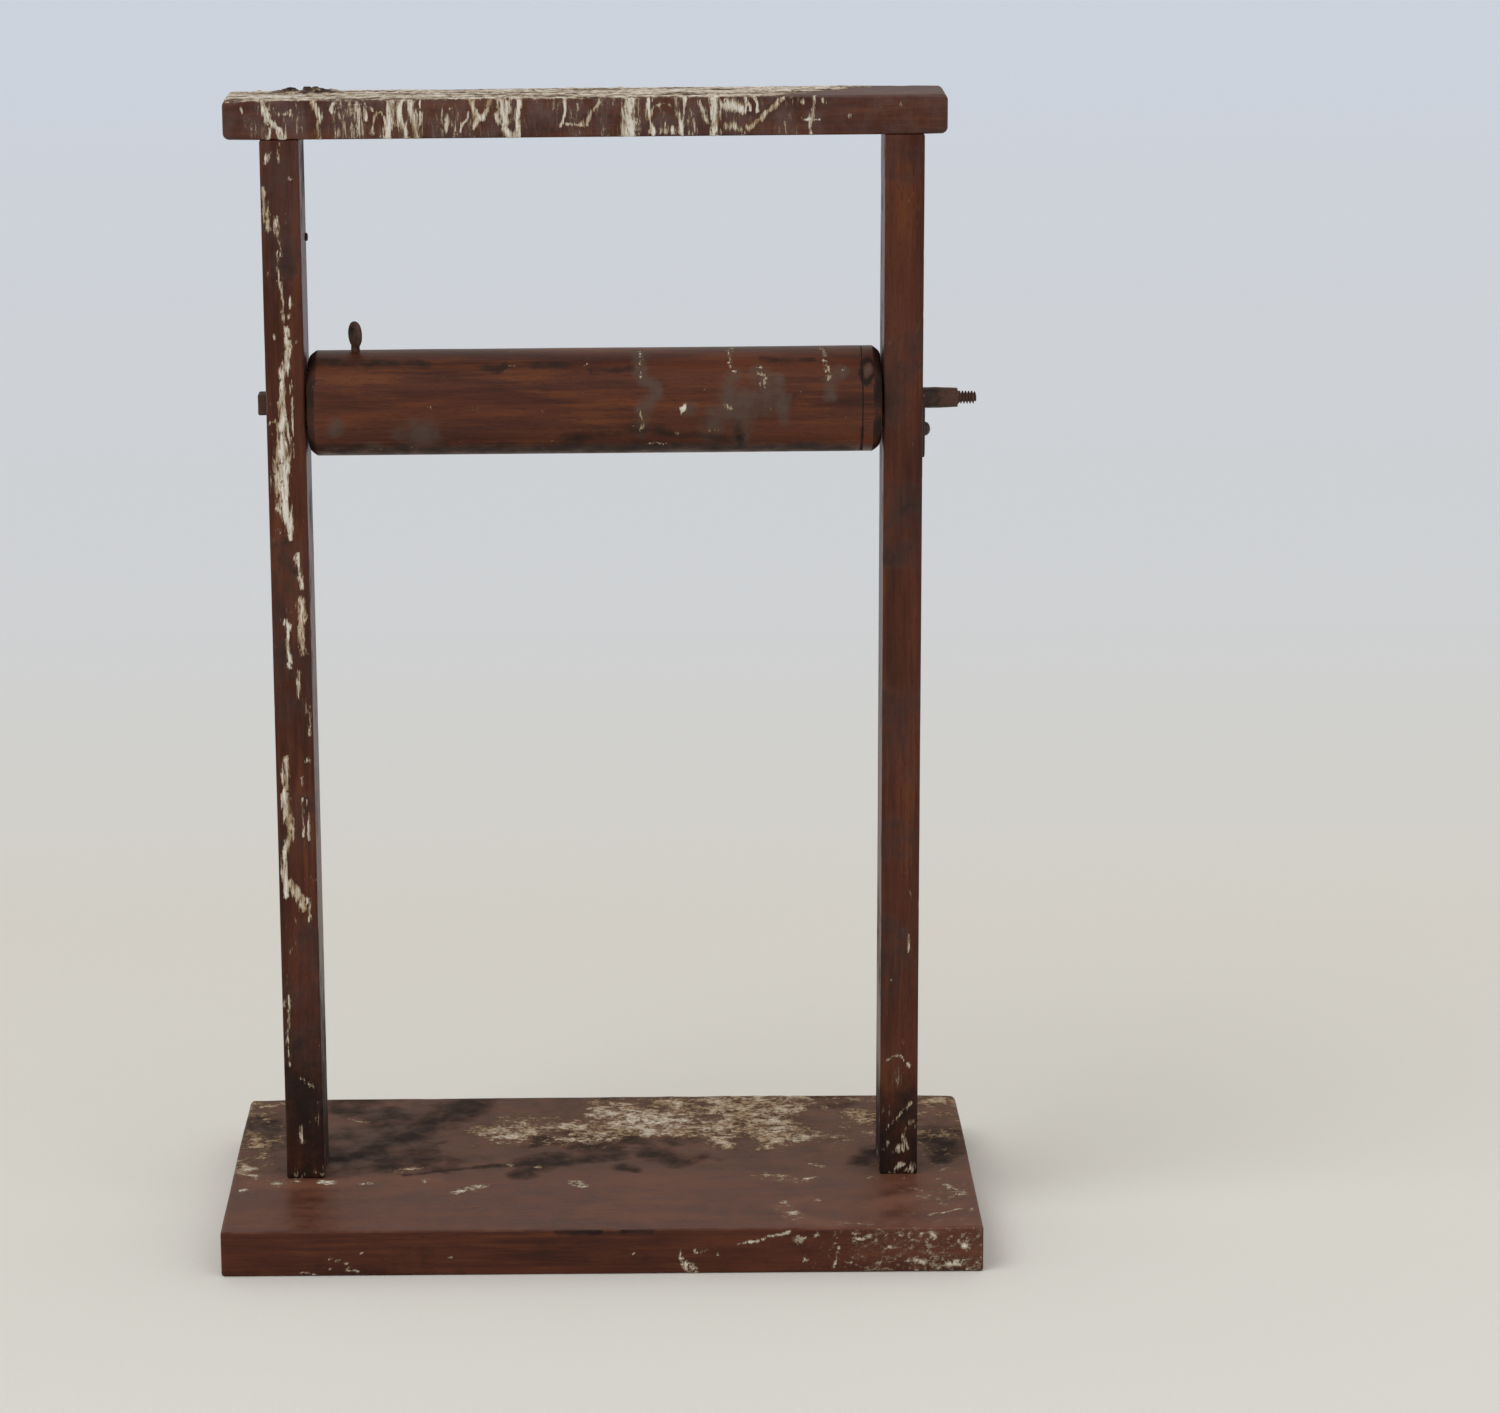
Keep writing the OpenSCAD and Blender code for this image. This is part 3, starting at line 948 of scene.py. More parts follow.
RAIL_CHALK = strokes(
    ((-116.6, 418.6, 1.4), (-115.7, 414.8, 2.2), (-114.3, 411.4, 2.4), (-112, 410, 2.2),
     (-110.4, 408, 2.4), (-109.2, 405.2, 2.8)),
    ((-114.7, 416.2, 1.0), (-113.3, 410, 1.2), (-114.1, 405.4, 1.6)),
    ((-98.2, 418.6, 1.8), (-96.8, 415.7, 2.0), (-95.4, 412.8, 2.0), (-96.6, 410.4, 1.4),
     (-96.4, 407.8, 2.0), (-95.8, 405.1, 1.0)),
    ((-90.3, 418.3, 0.9), (-91.7, 415.2, 1.3)),
    ((-77.2, 407.1, 1.5), (-76.9, 411.4, 1.0), (-76, 414.1, 1.0), (-74.4, 414.8, 1.0),
     (-73.1, 413.3, 1.0), (-72.2, 410.9, 1.2)),
    ((-70.5, 418.4, 2.4), (-71, 414.8, 2.6), (-71.4, 410.4, 3.4), (-71.9, 405.2, 4.2)),
    ((-66.8, 418.6, 2.6), (-67.7, 414.8, 2.4), (-66.8, 411.4, 2.2), (-65.4, 405.2, 2.8)),
    ((-63.6, 418.6, 3.2), (-62.7, 411.4, 3.2), (-61.7, 405.2, 3.4)),
    ((-60.2, 418.6, 0.9), (-60.4, 410, 0.9)), ((-49.8, 415.7, 1.5),),
    ((-43.3, 414.3, 0.8), (-46.5, 407.1, 0.8)),
    ((-42.6, 418.6, 1.6), (-41.3, 414.8, 2.0), (-39.6, 411.9, 2.4), (-41.5, 408, 1.6)),
    ((-38.7, 411.4, 2.2), (-36.4, 414.8, 2.2), (-35.9, 418, 2.4)),
    ((-31.3, 418.4, 5.0), (-30.5, 414.8, 5.0), (-30, 411, 3.6)),
    ((-33.6, 412.8, 2.0), (-30.4, 408, 2.6), (-28.1, 405.2, 4.4)),
    ((-25.3, 418.6, 1.7), (-26, 412.4, 1.8), (-26.3, 405.2, 2.4)),
    ((-9.2, 418.8, 1.0), (-9.6, 413.3, 0.9), (-11.2, 408.7, 0.8)),
    ((2.8, 417.2, 1.4), (0, 414, 1.6), (-1.6, 410.2, 2.0), (-4.6, 409.3, 1.4), (-8.7, 410.2, 1.0)),
    ((13.8, 418.4, 5.4), (13.4, 413, 5.6), (12.4, 405.6, 7.0)),
    ((20.2, 418.6, 1.0), (20.6, 412, 1.0), (21.6, 405.5, 1.2)),
    ((30.3, 413, 1.2), (31.2, 409, 1.3), (32.2, 405.4, 1.6)),
    ((33, 418.8, 1.2), (32.6, 412, 1.0), (32.2, 406, 1.0)),
    ((43.4, 418.6, 3.8), (43.6, 412, 4.0), (43.4, 405.2, 4.0)),
    ((47, 416, 4.0), (50.5, 416.2, 5.0), (53, 414.6, 3.4)),
    ((54.6, 418.4, 1.2), (56, 414.5, 1.2)), ((57.6, 418.4, 1.0), (58.8, 413.6, 1.1)),
    ((67.8, 418.7, 1.8), (63.2, 414, 2.0), (59.5, 410.3, 2.0), (54.9, 408, 2.2)),
    ((74.2, 411.5, 1.2),), ((78.5, 418.8, 1.4), (78, 412, 1.8), (77.4, 405.5, 1.2)),
    ((75, 410.8, 0.9), (80.5, 410.8, 1.1)), weight=1.15,
) + strokes(
    ((-112, 416.2, 0.9), (-111.3, 414.1, 0.9), (-107.8, 413.5, 0.9), (-106, 415.2, 1.0),
     (-106.3, 413.3, 0.9)), ((-123.9, 416.7, 0.9), (-123.4, 415.2, 0.9)), ((-102.8, 409.5, 1.2),),
    ((-90.3, 416.2, 0.8), (-85.7, 417.5, 0.7), (-80.2, 416.9, 0.7), (-76.9, 415, 0.8)),
    ((-82.6, 415.5, 3.4), (-82.6, 407.5, 3.6)), ((-80, 417.6, 1.4), (-79.6, 412, 1.4)),
    ((-5.5, 416.7, 1.0), (-4.8, 415, 1.0)),
    ((20.4, 411, 0.9), (22, 415.8, 0.9), (25.2, 417, 0.9), (28.6, 415.6, 0.9), (30.2, 411.5, 1.0)),
    ((22, 407, 3.0), (29.5, 407, 3.4)), ((38.4, 417, 2.0), (40, 410, 2.2)),
    ((48, 409, 3.0), (52, 407.5, 2.8)), ((70.8, 418.6, 0.9), (71.4, 416.6, 0.9)),
    ((73.4, 418.6, 0.8), (73.8, 416.8, 0.9)), ((81.2, 417.8, 0.8), (82.4, 416.4, 0.9)),
    ((91, 412, 1.6),), ((108.9, 415.5, 1.2),), weight=0.72,
)
RAIL_OCHRE = strokes(
    ((-98.8, 418, 4), (-97, 411, 3), (-97.4, 406, 3)), ((-43, 418, 4), (-41, 412, 4), (-40, 406, 4)),
    ((-36, 418, 5), (-34.6, 413, 4)), ((-23.8, 417, 2.4), (-24.4, 408, 2.6)),
    ((-69, 417, 1.6), (-68.4, 406, 2)), ((-64, 408, 6), (-61, 405, 7)),
    ((-77.6, 407, 2.6), (-75.5, 415, 2.6)),
    ((2, 417, 2.4), (-3, 409, 3)), ((9.4, 410, 4), (8.4, 405.5, 5)),
    ((20.4, 411, 2), (25.2, 417, 2), (30.4, 411.5, 2)), ((66.6, 417, 3), (60, 410.5, 4), (55, 408, 4)),
)
RAIL_FILM = strokes(
    ((-109.5, 415.5, 9), (-107, 411, 6)), ((-88, 413, 9), (-82.6, 411, 9)), ((-50, 413, 6),),
    ((-20, 414, 10), (-14, 412, 8)), ((25, 411, 11), (39, 414, 7)), ((66.5, 412, 6),), ((78, 411, 8),),
    weight=0.7,
)
LEFT_POST_CHALK = strokes(
    ((-116.6, 388, 1.2), (-115.6, 380, 2.0), (-114.6, 373, 1.6)),
    ((-111.8, 378, 1.6), (-112.4, 373, 2.2), (-111, 368, 1.2), (-110.5, 363, 1.0)),
    ((-112, 365, 0.8), (-111.4, 352, 0.9), (-110.3, 340, 0.6)),
    ((-108.5, 349, 0.6), (-108.5, 342, 0.8)),
    ((-108.3, 319, 0.7), (-107.9, 299, 0.8), (-107.6, 291, 1.2)),
    ((-107.8, 255, 1.2), (-106, 243, 1.6)),
    ((-108, 212, 1.2), (-108.2, 201, 1.4)),
    ((-104.8, 196, 1.2), (-105.2, 188, 1.0)), ((-106, 178, 1.8),),
    ((-108, 172, 0.7), (-107.6, 150, 0.8)), ((-106.2, 166, 0.6), (-106, 148, 0.8)),
    ((-107, 126, 1.8), (-106.6, 118, 1.6)),
    ((-115.2, 88, 0.8), (-115.4, 62, 1.2)), ((-112, 57, 0.8), (-107, 53, 1.2)),
    ((-111.8, 37, 2.0), (-111.6, 31, 1.6)), ((-114.6, 19, 2.0),), ((-111.4, 18.6, 1.4),),
    ((-106.4, 19.6, 2.0), (-104.6, 18.4, 1.6)),
    ((-114, 400, 1.4), (-115, 397, 1.6)), ((-110.4, 404, 0.9), (-110.6, 397, 0.8)),
    ((-107, 391, 1.4),), ((-113.6, 334.5, 1.4),), ((-105.6, 333, 1.4),),
) + strokes(
    ((-109.2, 338, 2.0), (-109.2, 329, 3.0), (-110.8, 321, 2.6), (-111.4, 309, 3.2),
     (-111.2, 298, 4.6), (-112.2, 289, 6.2), (-112.8, 281, 6.6), (-112.2, 273, 5.2),
     (-110.3, 267, 3.2), (-109.7, 261, 2.0)),
    ((-106.6, 238, 3.2), (-106.2, 228, 2.8), (-106.2, 218, 2.4)),
    ((-112.6, 231, 1.4), (-111.2, 228, 1.5), (-111.4, 214, 1.9)),
    ((-113.6, 179, 2.2), (-113.8, 164, 3.0), (-112.8, 150, 3.2), (-115.2, 143, 2.4), (-115.6, 127, 1.8)),
    ((-113, 132, 3.0), (-110.5, 127, 3.8), (-109, 121, 1.6)),
    ((-116.8, 303, 1.0), (-114.8, 304.5, 1.4)), weight=1.12,
)
LEFT_POST_OCHRE = strokes(
    ((-117, 388, 2), (-115, 375, 2)), ((-108.4, 322, 2), (-113.5, 305, 3), (-115, 290, 4), (-115, 276, 4)),
    ((-108.6, 296, 2), (-108.8, 274, 3)), ((-106.4, 238, 4), (-106.2, 217, 4)),
    ((-112.8, 180, 3), (-113, 164, 3), (-112.5, 134, 4), (-109, 121, 4)), weight=0.9,
)
RIGHT_POST_CHALK = strokes(
    ((112.6, 134, 1.2),), ((114.5, 128, 1.0), (114.7, 124, 1.0)), ((114, 110, 0.8), (113.8, 104, 0.8)),
    ((107.6, 93, 0.8),), ((106, 62, 1.0), (110, 64, 0.9), (114, 60, 1.2)),
    ((115, 45, 0.8), (111, 40, 0.9), (106, 35, 1.1)), ((106.2, 29.5, 2.2),),
    ((113.6, 31, 1.2), (113.4, 27.5, 1.9)), weight=0.60,
) + strokes(((109.5, 19.4, 1.6), (112, 21, 2.2)), ((113.6, 18.6, 2.0), (116.4, 19.6, 1.4)), weight=0.85)
EDGE_CHALK = strokes(
    ((28, 8.5, 1.4), (29, 4, 2.4), (33, 1.5, 4.0)), ((33, 9.5, 0.8), (34, 7.5, 1.2), (38, 9, 0.7)),
    ((49, 11, 0.8), (59, 13.2, 1.4), (67.5, 15.5, 1.6)), ((71.5, 13, 4.0),), ((77.6, 14.6, 2.4),),
    ((86.3, 10.5, 0.8), (83.8, 2.5, 1.0)), ((42, 7.5, 1.2),), ((12, 8, 1.0),),
    ((-98.5, 6.8, 0.7), (-94, 5.6, 0.7), (-91, 4.4, 0.9)), ((-101, 3.5, 0.7), (-98, 3.2, 0.8)),
    ((-92, 2.4, 1.0), (-88, 1.8, 0.8)), ((-110, 1.0, 0.6), (-104, 1.0, 0.7)), ((-87, 8.6, 1.0),),
    ((-55, 6.6, 1.0),), ((112, 14.5, 2.2),), ((120, 15, 3.0), (121, 13.5, 2.0)),
    ((131, 11, 3.0), (133, 9.5, 2.4)), ((131.5, 15, 1.6),),
    ((84, 14, 1.6),), ((104, 9, 2.6),), ((126, 3, 4.0), (131, 4, 3.0)), ((114, 5, 2.4), (117, 3, 2.0)),
    ((91, 12.5, 1.4), (97, 14, 2.0)), ((100, 3, 2.2),), ((74, 5, 1.8),), ((90, 3.5, 1.6),), weight=0.76,
)
BOARD_CHALK = strokes(
    ((-54, -33, 3.0), (-48, -28, 4.5), (-43, -25, 3.0)), ((-122, -22, 3.0), (-115, -19, 4.0)),
    ((-104, -21, 3.0), (-99, -21, 3.0)), ((-90, -24, 2.5), (-86, -23, 2.0)),
    ((-78, -10, 3.0), (-70, -7, 4.0)),
    ((-66, -21, 2.5),), ((-132, -30, 3.5),), ((-130, -14, 4.0),), ((-132, 30, 8.0), (-126, 24, 9.0)),
    ((82, -8, 1.8), (79, -5, 2.6)), ((123, -66, 2.0),), ((80, -44, 2.2),), ((73, -38, 1.6),),
    ((114, -34, 2.6), (118, -35, 1.4)), ((100, -20, 2.0),), ((112, -21, 1.6),), ((128, 40, 2.0),),
    ((-46, -49, 1.2),), ((128, -30, 3.0), (131, -34, 2.0)), ((86, -68, 1.8), (98, -70, 1.4)),
    ((-35, -4, 2.6),), ((-24, -6, 2.2),), ((-10, -24, 4.0), (-6, -28, 2.0)), weight=0.60, wider=1.5,
) + strokes(
    ((-133, 64, 2.4), (-112, 69, 2.0)), ((-98, 49, 1.8), (-90, 44, 1.2)), ((76, -21, 2.6), (80, -20, 2.4)),
    ((119, -61, 1.8), (125, -58, 1.2), (131, -55, 1.4)), ((-12, 40, 5), (-28, 35, 6)), weight=0.85,
) + strokes(
    ((-42, 34, 18), (-35, 28, 16), (-27, 35, 14)), ((-13, 39, 16), (-2, 31, 20), (9, 33, 16)),
    ((1, 55, 20), (14, 48, 16)), ((45, 67, 20), (51, 72, 18)), ((60, 51, 20), (53, 38, 18), (63, 26, 16)),
    ((71, 26, 10), (61, 14, 8)), ((47, 17, 10), (39, 30, 16)), ((27, 67, 18), (32, 55, 16)),
    ((98, 53, 12), (100, 44, 14)), ((-7, 22, 8), (-16, 24, 8)), ((129, 65, 14), (135, 65, 12)),
    ((-134, 30, 12), (-130, 19, 14)), ((-134, -10, 10), (-136, 2, 8)), weight=0.80,
) + strokes(
    ((123, 8, 8), (125, 0, 6)), ((60, -17, 10), (74, -21, 8)), ((70, -62, 8), (66, -48, 8)), weight=0.36,
)
BOARD_FILM = strokes(
    ((58, -17, 12), (76, -22, 14)), ((84, -70, 12), (70, -62, 10), (66, -50, 10), (76, -42, 8)),
    ((-128, -22, 16), (-100, -24, 12), (-80, -14, 12), (-62, -20, 8)),
    ((100, -50, 18), (118, -40, 16)), weight=1.0,
)
BOARD_OCHRE = strokes(
    ((-133, 45, 24), (-128, 15, 26)), ((98, 56, 16), (104, 50, 14)), ((30, 60, 20), (60, 62, 22)),
)
BOARD_SOOT = strokes(
    ((-103, 2, 10), (-92, 8, 14), (-84, 12, 12)), ((-84, 18, 12), (-76, 28, 20), (-69, 34, 14)),
    ((-72, 34, 12), (-64, 47, 22), (-54, 60, 24), (-50, 70, 18)),
    ((-73, -14, 3.5), (-58, -9, 3.5), (-38, -4, 5), (-18, -3, 7), (6, 6, 12)),
    ((126, 26, 20), (131, 12, 18), (127, -2, 9)), ((-6, 16, 16), (4, 12, 14)), ((17, 10, 16), (28, -2, 14)),
    ((8, -8, 9), (12, -10, 7)),
    ((98, -3, 12), (103, 8, 14)), ((-29, -1, 12), (-16, 5, 14), (-30, -15, 11)), weight=0.76,
)
EDGE_SOOT = strokes(((-16, 16.4, 2.0), (-8, 16.6, 2.6), (0, 16.2, 2.0)), ((8, 16.5, 2.0), (18, 16.3, 2.2)))


def board_crust(spots: Array, normals: Array) -> dict[str, Array]:
    """Broad dirt on the board: lichen along the back, a grey film, and specks at the right.

    Args:
        spots: points in millimetres.
        normals: their normals.

    Returns:
        The layers that it adds.
    """
    x, y = spots[:, 0], spots[:, 1]
    up, front = facing(normals, UP), facing(normals, FORWARD)
    rough, fine = cloud(spots, 16.0, 41, 4), cloud(spots, 5.0, 42, 3)
    # Lichen behind the posts: thickest in the middle, with a bare corner at its back and left.
    spread = cloud(spots * np.array([0.55, 1.0, 1.0]), 10.0, 44, 4)
    back = ramp(y + 26 * (rough - 0.5), 2, 30)
    middle = ramp(x + 20 * (rough - 0.5), -60, -24) * (1 - 0.5 * ramp(x, 66, 92))
    bare = ramp(y, 42, 54) * (1 - ramp(x + 14 * (rough - 0.5), -8, 14))
    lichen = up * back * middle * (1 - 0.85 * bare) * (0.16 + 0.56 * ramp(spread, 0.37, 0.60))
    # Crumbs at both ends, a grey film over all of the top, and specks on the front's right end.
    left = up * ramp(-x, 104, 128) * ramp(y + 14 * rough, -30, 4) * (0.08 + 0.42 * ramp(fine, 0.40, 0.7))
    right = up * ramp(x, 92, 128) * (0.06 + 0.30 * ramp(fine, 0.5, 0.8))
    behind = ramp(y + 30 * (rough - 0.5), -26, 0)
    film = 0.40 + 0.25 * behind * (0.4 + rough) + 0.20 * ramp(x, 56, 100) * (0.3 + fine)
    film = up * film + 0.3 * lichen
    specks = front * ramp(x, 56, 112) * (0.16 + 0.26 * ramp(cloud(spots, 3.0, 45, 3), 0.42, 0.68))
    # Old dirt on the end faces and the back, black stains, and a tan tint under the lichen.
    ends = np.abs(normals[:, 0]) * ramp(fine, 0.55, 0.8) * 0.4
    rear = facing(normals, BACKWARD) * ramp(0.5 * rough + 0.5 * fine, 0.45, 0.75) * 0.5
    stains = up * behind * (0.16 + 0.42 * ramp(cloud(spots, 22.0, 43, 4), 0.48, 0.68))
    edge = front * 0.25 * ramp(cloud(spots * np.array([0.3, 1, 1]), 9.0, 46), 0.5, 0.7)
    tan = 0.30 + 0.25 * ramp(-x, 50, 90) + 0.5 * ramp(cloud(spots, 11.0, 47), 0.42, 0.62)
    return {"chalk": np.max([lichen, left, right, specks, ends, rear], axis=0),
            "film": film + 0.35 * front * ramp(x, 70, 110), "soot": np.maximum(stains, edge),
            "level": np.ones(len(spots)), "even": front, "ochre": up * behind * tan}


def rail_crust(spots: Array, normals: Array) -> dict[str, Array]:
    """The crust on the rail's top, gone from its right end, with mottling on its front.

    Args:
        spots: points in millimetres.
        normals: their normals.

    Returns:
        The layers that it adds, with the thickness of the heap of bark at the left.
    """
    x, y = spots[:, 0], spots[:, 1]
    up, front = facing(normals, UP), facing(normals, FORWARD)
    # The crust on the top, drawn out along the rail, ends on a slant near x = 88.
    streaked = cloud(spots * np.array([0.25, 1.6, 1.0]), 4.0, 51, 4)
    reach = 1 - ramp(x - 1.3 * y + 10 * (streaked - 0.5), 78, 98)
    top = up * reach * (0.48 + 0.46 * ramp(streaked, 0.34, 0.58))
    # Thin washes hang down its front and its back.
    fine = cloud(spots, 3.0, 52, 3)
    upright = cloud(spots * np.array([1.0, 1.0, 0.3]), 3.0, 53, 4)
    along = ramp(x, -126, -112) * (1 - ramp(x, 58, 82))
    front_wash = front * along * (0.05 + 0.38 * ramp(upright, 0.50, 0.72))
    back = facing(normals, BACKWARD) * ramp(upright, 0.45, 0.66) * reach * 0.6
    # A heap of dark bark lies over the left post, and a few crumbs of litter along the back.
    heap = up * ramp(x, -116, -106) * (1 - ramp(x, -98, -88)) * ramp(y, -2, 5)
    bark = heap * ramp(cloud(spots * np.array([0.6, 1.0, 1.0]), 4.0, 55, 4), 0.42, 0.56)
    litter = up * ramp(cloud(spots, 3.4, 56, 2), 0.74, 0.84) * ramp(y, -10, 4) * reach
    dust = up * (0.75 - 0.3 * ramp(x, 70, 100)) + front * (0.34 + 0.26 * along * ramp(upright, 0.42, 0.6))
    return {"chalk": np.max([top * (1 - 0.7 * bark), front_wash, back], axis=0),
            "film": dust, "ochre": up * 0.35 * fine + 0.15 * front,
            "soot": np.maximum(bark * 0.8, up * reach * ramp(-streaked, -0.44, -0.32) * 0.5),
            "lump": np.maximum(bark * (0.2 + 1.5 * ramp(cloud(spots, 2.0, 57, 2), 0.3, 0.7)), litter * 0.5)}


def post_crust(spots: Array, normals: Array) -> dict[str, Array]:
    """Dust on a post's faces, and dirt and specks that gather towards its foot.

    Args:
        spots: points in millimetres.
        normals: their normals, which it has no use for; every crust is called with both.

    Returns:
        The layers that it adds.
    """
    x, z = spots[:, 0], spots[:, 2]
    low = 1 - ramp(z, 30, np.where(x < 0, 130, 75))
    fine = cloud(spots * np.array([1.0, 1.0, 0.6]), 3.2, 61, 3)
    broad = cloud(spots, 18.0, 62, 3)
    specks = ramp(fine, 0.62, 0.80) * (0.20 + 0.40 * low) * np.where(x > 0, 0.35 + 0.65 * low, 1.0)
    foot = (1 - ramp(z, 17.5, 24)) * ramp(fine, 0.50, 0.72) * 0.55
    high = ramp(z, 330, 395) * (x < 0)
    return {"chalk": np.maximum(specks * 0.85, foot),
            "film": 0.10 + 0.3 * low * broad + 0.2 * ramp(broad, 0.50, 0.7) + 0.22 * high,
            "soot": np.maximum(low * (0.45 + 0.7 * broad), 0.35 * ramp(broad, 0.55, 0.7) + 0.2 * high),
            "ochre": 0.3 * fine}


def roller_layers(points: Array, normals: Array, axis: Array, radius: float) -> dict[str, Array]:
    """The roller's few marks, laid out on x and on the way round its skin from its front line, and painted
    shade on its end faces and chamfers.

    Args:
        points: points in metres.
        normals: their normals.
        axis: a point on the roller's axis, at x = 0.
        radius: the roller's radius, in metres.

    Returns:
        Layer names and one number for each point.
    """
    spots = (points - axis) / MM
    skin = radius / MM * np.arctan2(spots[:, 2], -spots[:, 1])
    flat = np.stack([points[:, 0] / MM, skin], axis=1)
    for wander in ROLLER_WANDER:
        flat = flat + wander.shift(spots)
    side = 1 - ramp(np.abs(normals[:, 0]), 0.3, 0.6)
    mark = {name: np.max([stroke.field(flat) for stroke in group], axis=0).clip(0) * side
            for name, group in ROLLER_MARKS.items()}
    fine = cloud(spots, 3.0, 73, 3)
    # A white dropping with a dark middle, and a plugged knot on the joint of the cap.
    blob = np.hypot(flat[:, 0] - 31.9, flat[:, 1] - 0.4)
    pip = np.hypot(flat[:, 0] - 32.2, flat[:, 1] + 0.2)
    mark["chalk"] = np.maximum(mark["chalk"], 1.5 * (1 - ramp(blob, 0.9, 1.7)) * ramp(pip, 0.25, 0.55))
    knot = np.hypot((flat[:, 0] - 97.6) / 2.6, (flat[:, 1] - 14.0) / 5.0)
    ring = np.exp(-((knot - 0.95) / 0.28) ** 2) * side
    core = np.clip(1 - knot / 0.8, 0, 1)
    mark["chalk"] = np.maximum(mark["chalk"], ramp(fine, 0.74, 0.86) * 0.35)
    broken = mark["film"] ** 1.3 * (0.35 + 1.0 * cloud(spots, 3.0, 78))
    # On the end faces and chamfers, where side is 0, the film gets 0.3 and the soot layer 0.7. The soot
    # layer's dark there is painted shade, as the ends sit close against the posts.
    mark["film"] = np.max([broken, np.full(len(flat), 0.05), core * 1.3, (1 - side) * 0.3], axis=0)
    mark["soot"] = np.max([mark["soot"], ring * 1.2, (1 - side) * 0.7], axis=0)
    mark["ochre"] = 0.2 + 0.4 * fine
    mark["level"] = np.zeros(len(flat))
    return mark


ROLLER_MARKS = {
    "chalk": strokes(
        ((15.8, 26, 1.0), (16.6, 18, 0.9), (17.2, 11.6, 0.8)), ((16.9, 1, 1.0), (16.8, -7, 1.0)),
        ((31.9, 0.4, 4.4),), ((48.5, 28, 2.6), (49, 18.4, 1.3), (50.8, 13.7, 1.2)),
        ((46.6, 0.8, 2.6), (48, 0, 1.8)), ((58.8, 15, 2.2), (59.8, 11, 2.6), (60.4, 8, 2.2)),
        ((81.6, 29, 1.8), (82.5, 17.2, 1.4), (83.5, 10.6, 1.6)),
        ((39.6, 7, 1.0),), ((-59, 1.2, 1.2),), ((-18.4, 0, 1.0),), ((-2.4, 20, 0.9), (-2.4, 17, 0.9)),
        ((18, -15, 1.2), (25, -15.5, 1.0)), ((87.6, 13.7, 2.4),), ((41, -9, 1.2), (44, -8, 1.0)),
        weight=0.66),
    "film": strokes(
        ((15.8, 25, 4.0), (17.5, 11, 4.5), (21.5, 8.5, 4.0), (22.5, 5.5, 4.0), (18, 1.5, 5.0),
         (16.5, -9, 4.0)), ((50.8, 14, 3.4), (48, 9.6, 4.6), (47.5, 4.8, 5.0), (47, 1, 6.0)),
        ((57, 3, 7.0), (51, 0, 9.0), (44, -3, 8.0), (40.5, -9.3, 7.0)),
        ((53.5, 2, 8.0), (52.5, -6, 6.5), (51.8, -14, 4.5), (52, -18, 4.0)),
        ((59, 13, 6.0), (61, 6, 6.0), (62.5, 2, 7.0)), ((65.5, 11, 4.0), (66.5, 6.5, 5.0), (68, -4, 4.0)),
        ((-62, -10, 12.0),), ((-70, -9, 5.0),), ((-93.4, -5.5, 6.0),), ((-79, -15, 5.0),), ((34, 0, 5.0),),
        ((84, 10, 5.0), (84, 5, 4.0)), ((87.6, 13.5, 4.4),), weight=1.0, wider=1.4),
    "soot": strokes(
        ((-10, -12, 6.0), (14, -7, 8.0), (30, -10, 6.0), (46, -12, 5.0)),
        ((-40, 16, 4.0), (-10, 18, 4.0)), ((0, 15, 3.5), (14, 16, 3.5)),
        ((-60, -17, 5.0), (-20, -18, 6.0)), ((51, -6, 5.0), (51.5, -18, 4.0)),
        ((-100, 20, 6.0), (-60, 18, 5.0)), ((60, 20, 4.0), (78, 19, 3.0)),
        ((-98, -18, 11.0), (-40, -19, 11.0), (10, -18, 12.0), (90, -20, 9.0)), weight=0.64),
}


# ---------------------------------------------------------------- ironwork

class Heading(Enum):
    """The way a head looks: its axis, its sign, and the axis swap that turns it there from +X."""

    RIGHT = (0, 1, (0, 1, 2), (1, 1, 1))
    UP = (2, 1, (2, 1, 0), (-1, 1, 1))
    DOWN = (2, -1, (2, 1, 0), (1, 1, -1))


@dataclass(frozen=True)
class Fastener:
    """A kind of screw, nail or brad, in millimetres.

    wide is the head's radius, edge its thickness at the rim, crown the height of its dome,
    shank the shank's radius and slot the driver slot's width, 0 where it is driven in.
    """

    wide: float
    edge: float
    crown: float
    shank: float
    slot: float
    heading: Heading


PLATE_SCREW = Fastener(2.6, 0.3, 2.2, 1.3, 0.8, Heading.RIGHT)
INNER_NAIL = Fastener(1.5, 0.5, 0.5, 0.7, 0.0, Heading.RIGHT)
FOOT_SCREW = Fastener(3.5, 2.2, 0.05, 1.7, 0.9, Heading.DOWN)
RAIL_NAIL = Fastener(2.0, 0.6, 0.4, 0.9, 0.0, Heading.UP)
CAP_BRAD = Fastener(1.4, 0.4, 0.4, 0.7, 0.0, Heading.RIGHT)


def screw_wave(along: Array, turn: Array, pitch: float) -> Array:
    """The depth of a thread as a share: a triangle wave that moves on by one pitch in each turn.

    Args:
        along: distances along the screw, in metres.
        turn: angles round it.
        pitch: the thread's pitch, in metres.

    Returns:
        0 on its crest and 1 at the bottom of its groove, for each place.
    """
    return np.abs((along / pitch - turn / (2 * np.pi)) % 1.0 * 2 - 1)


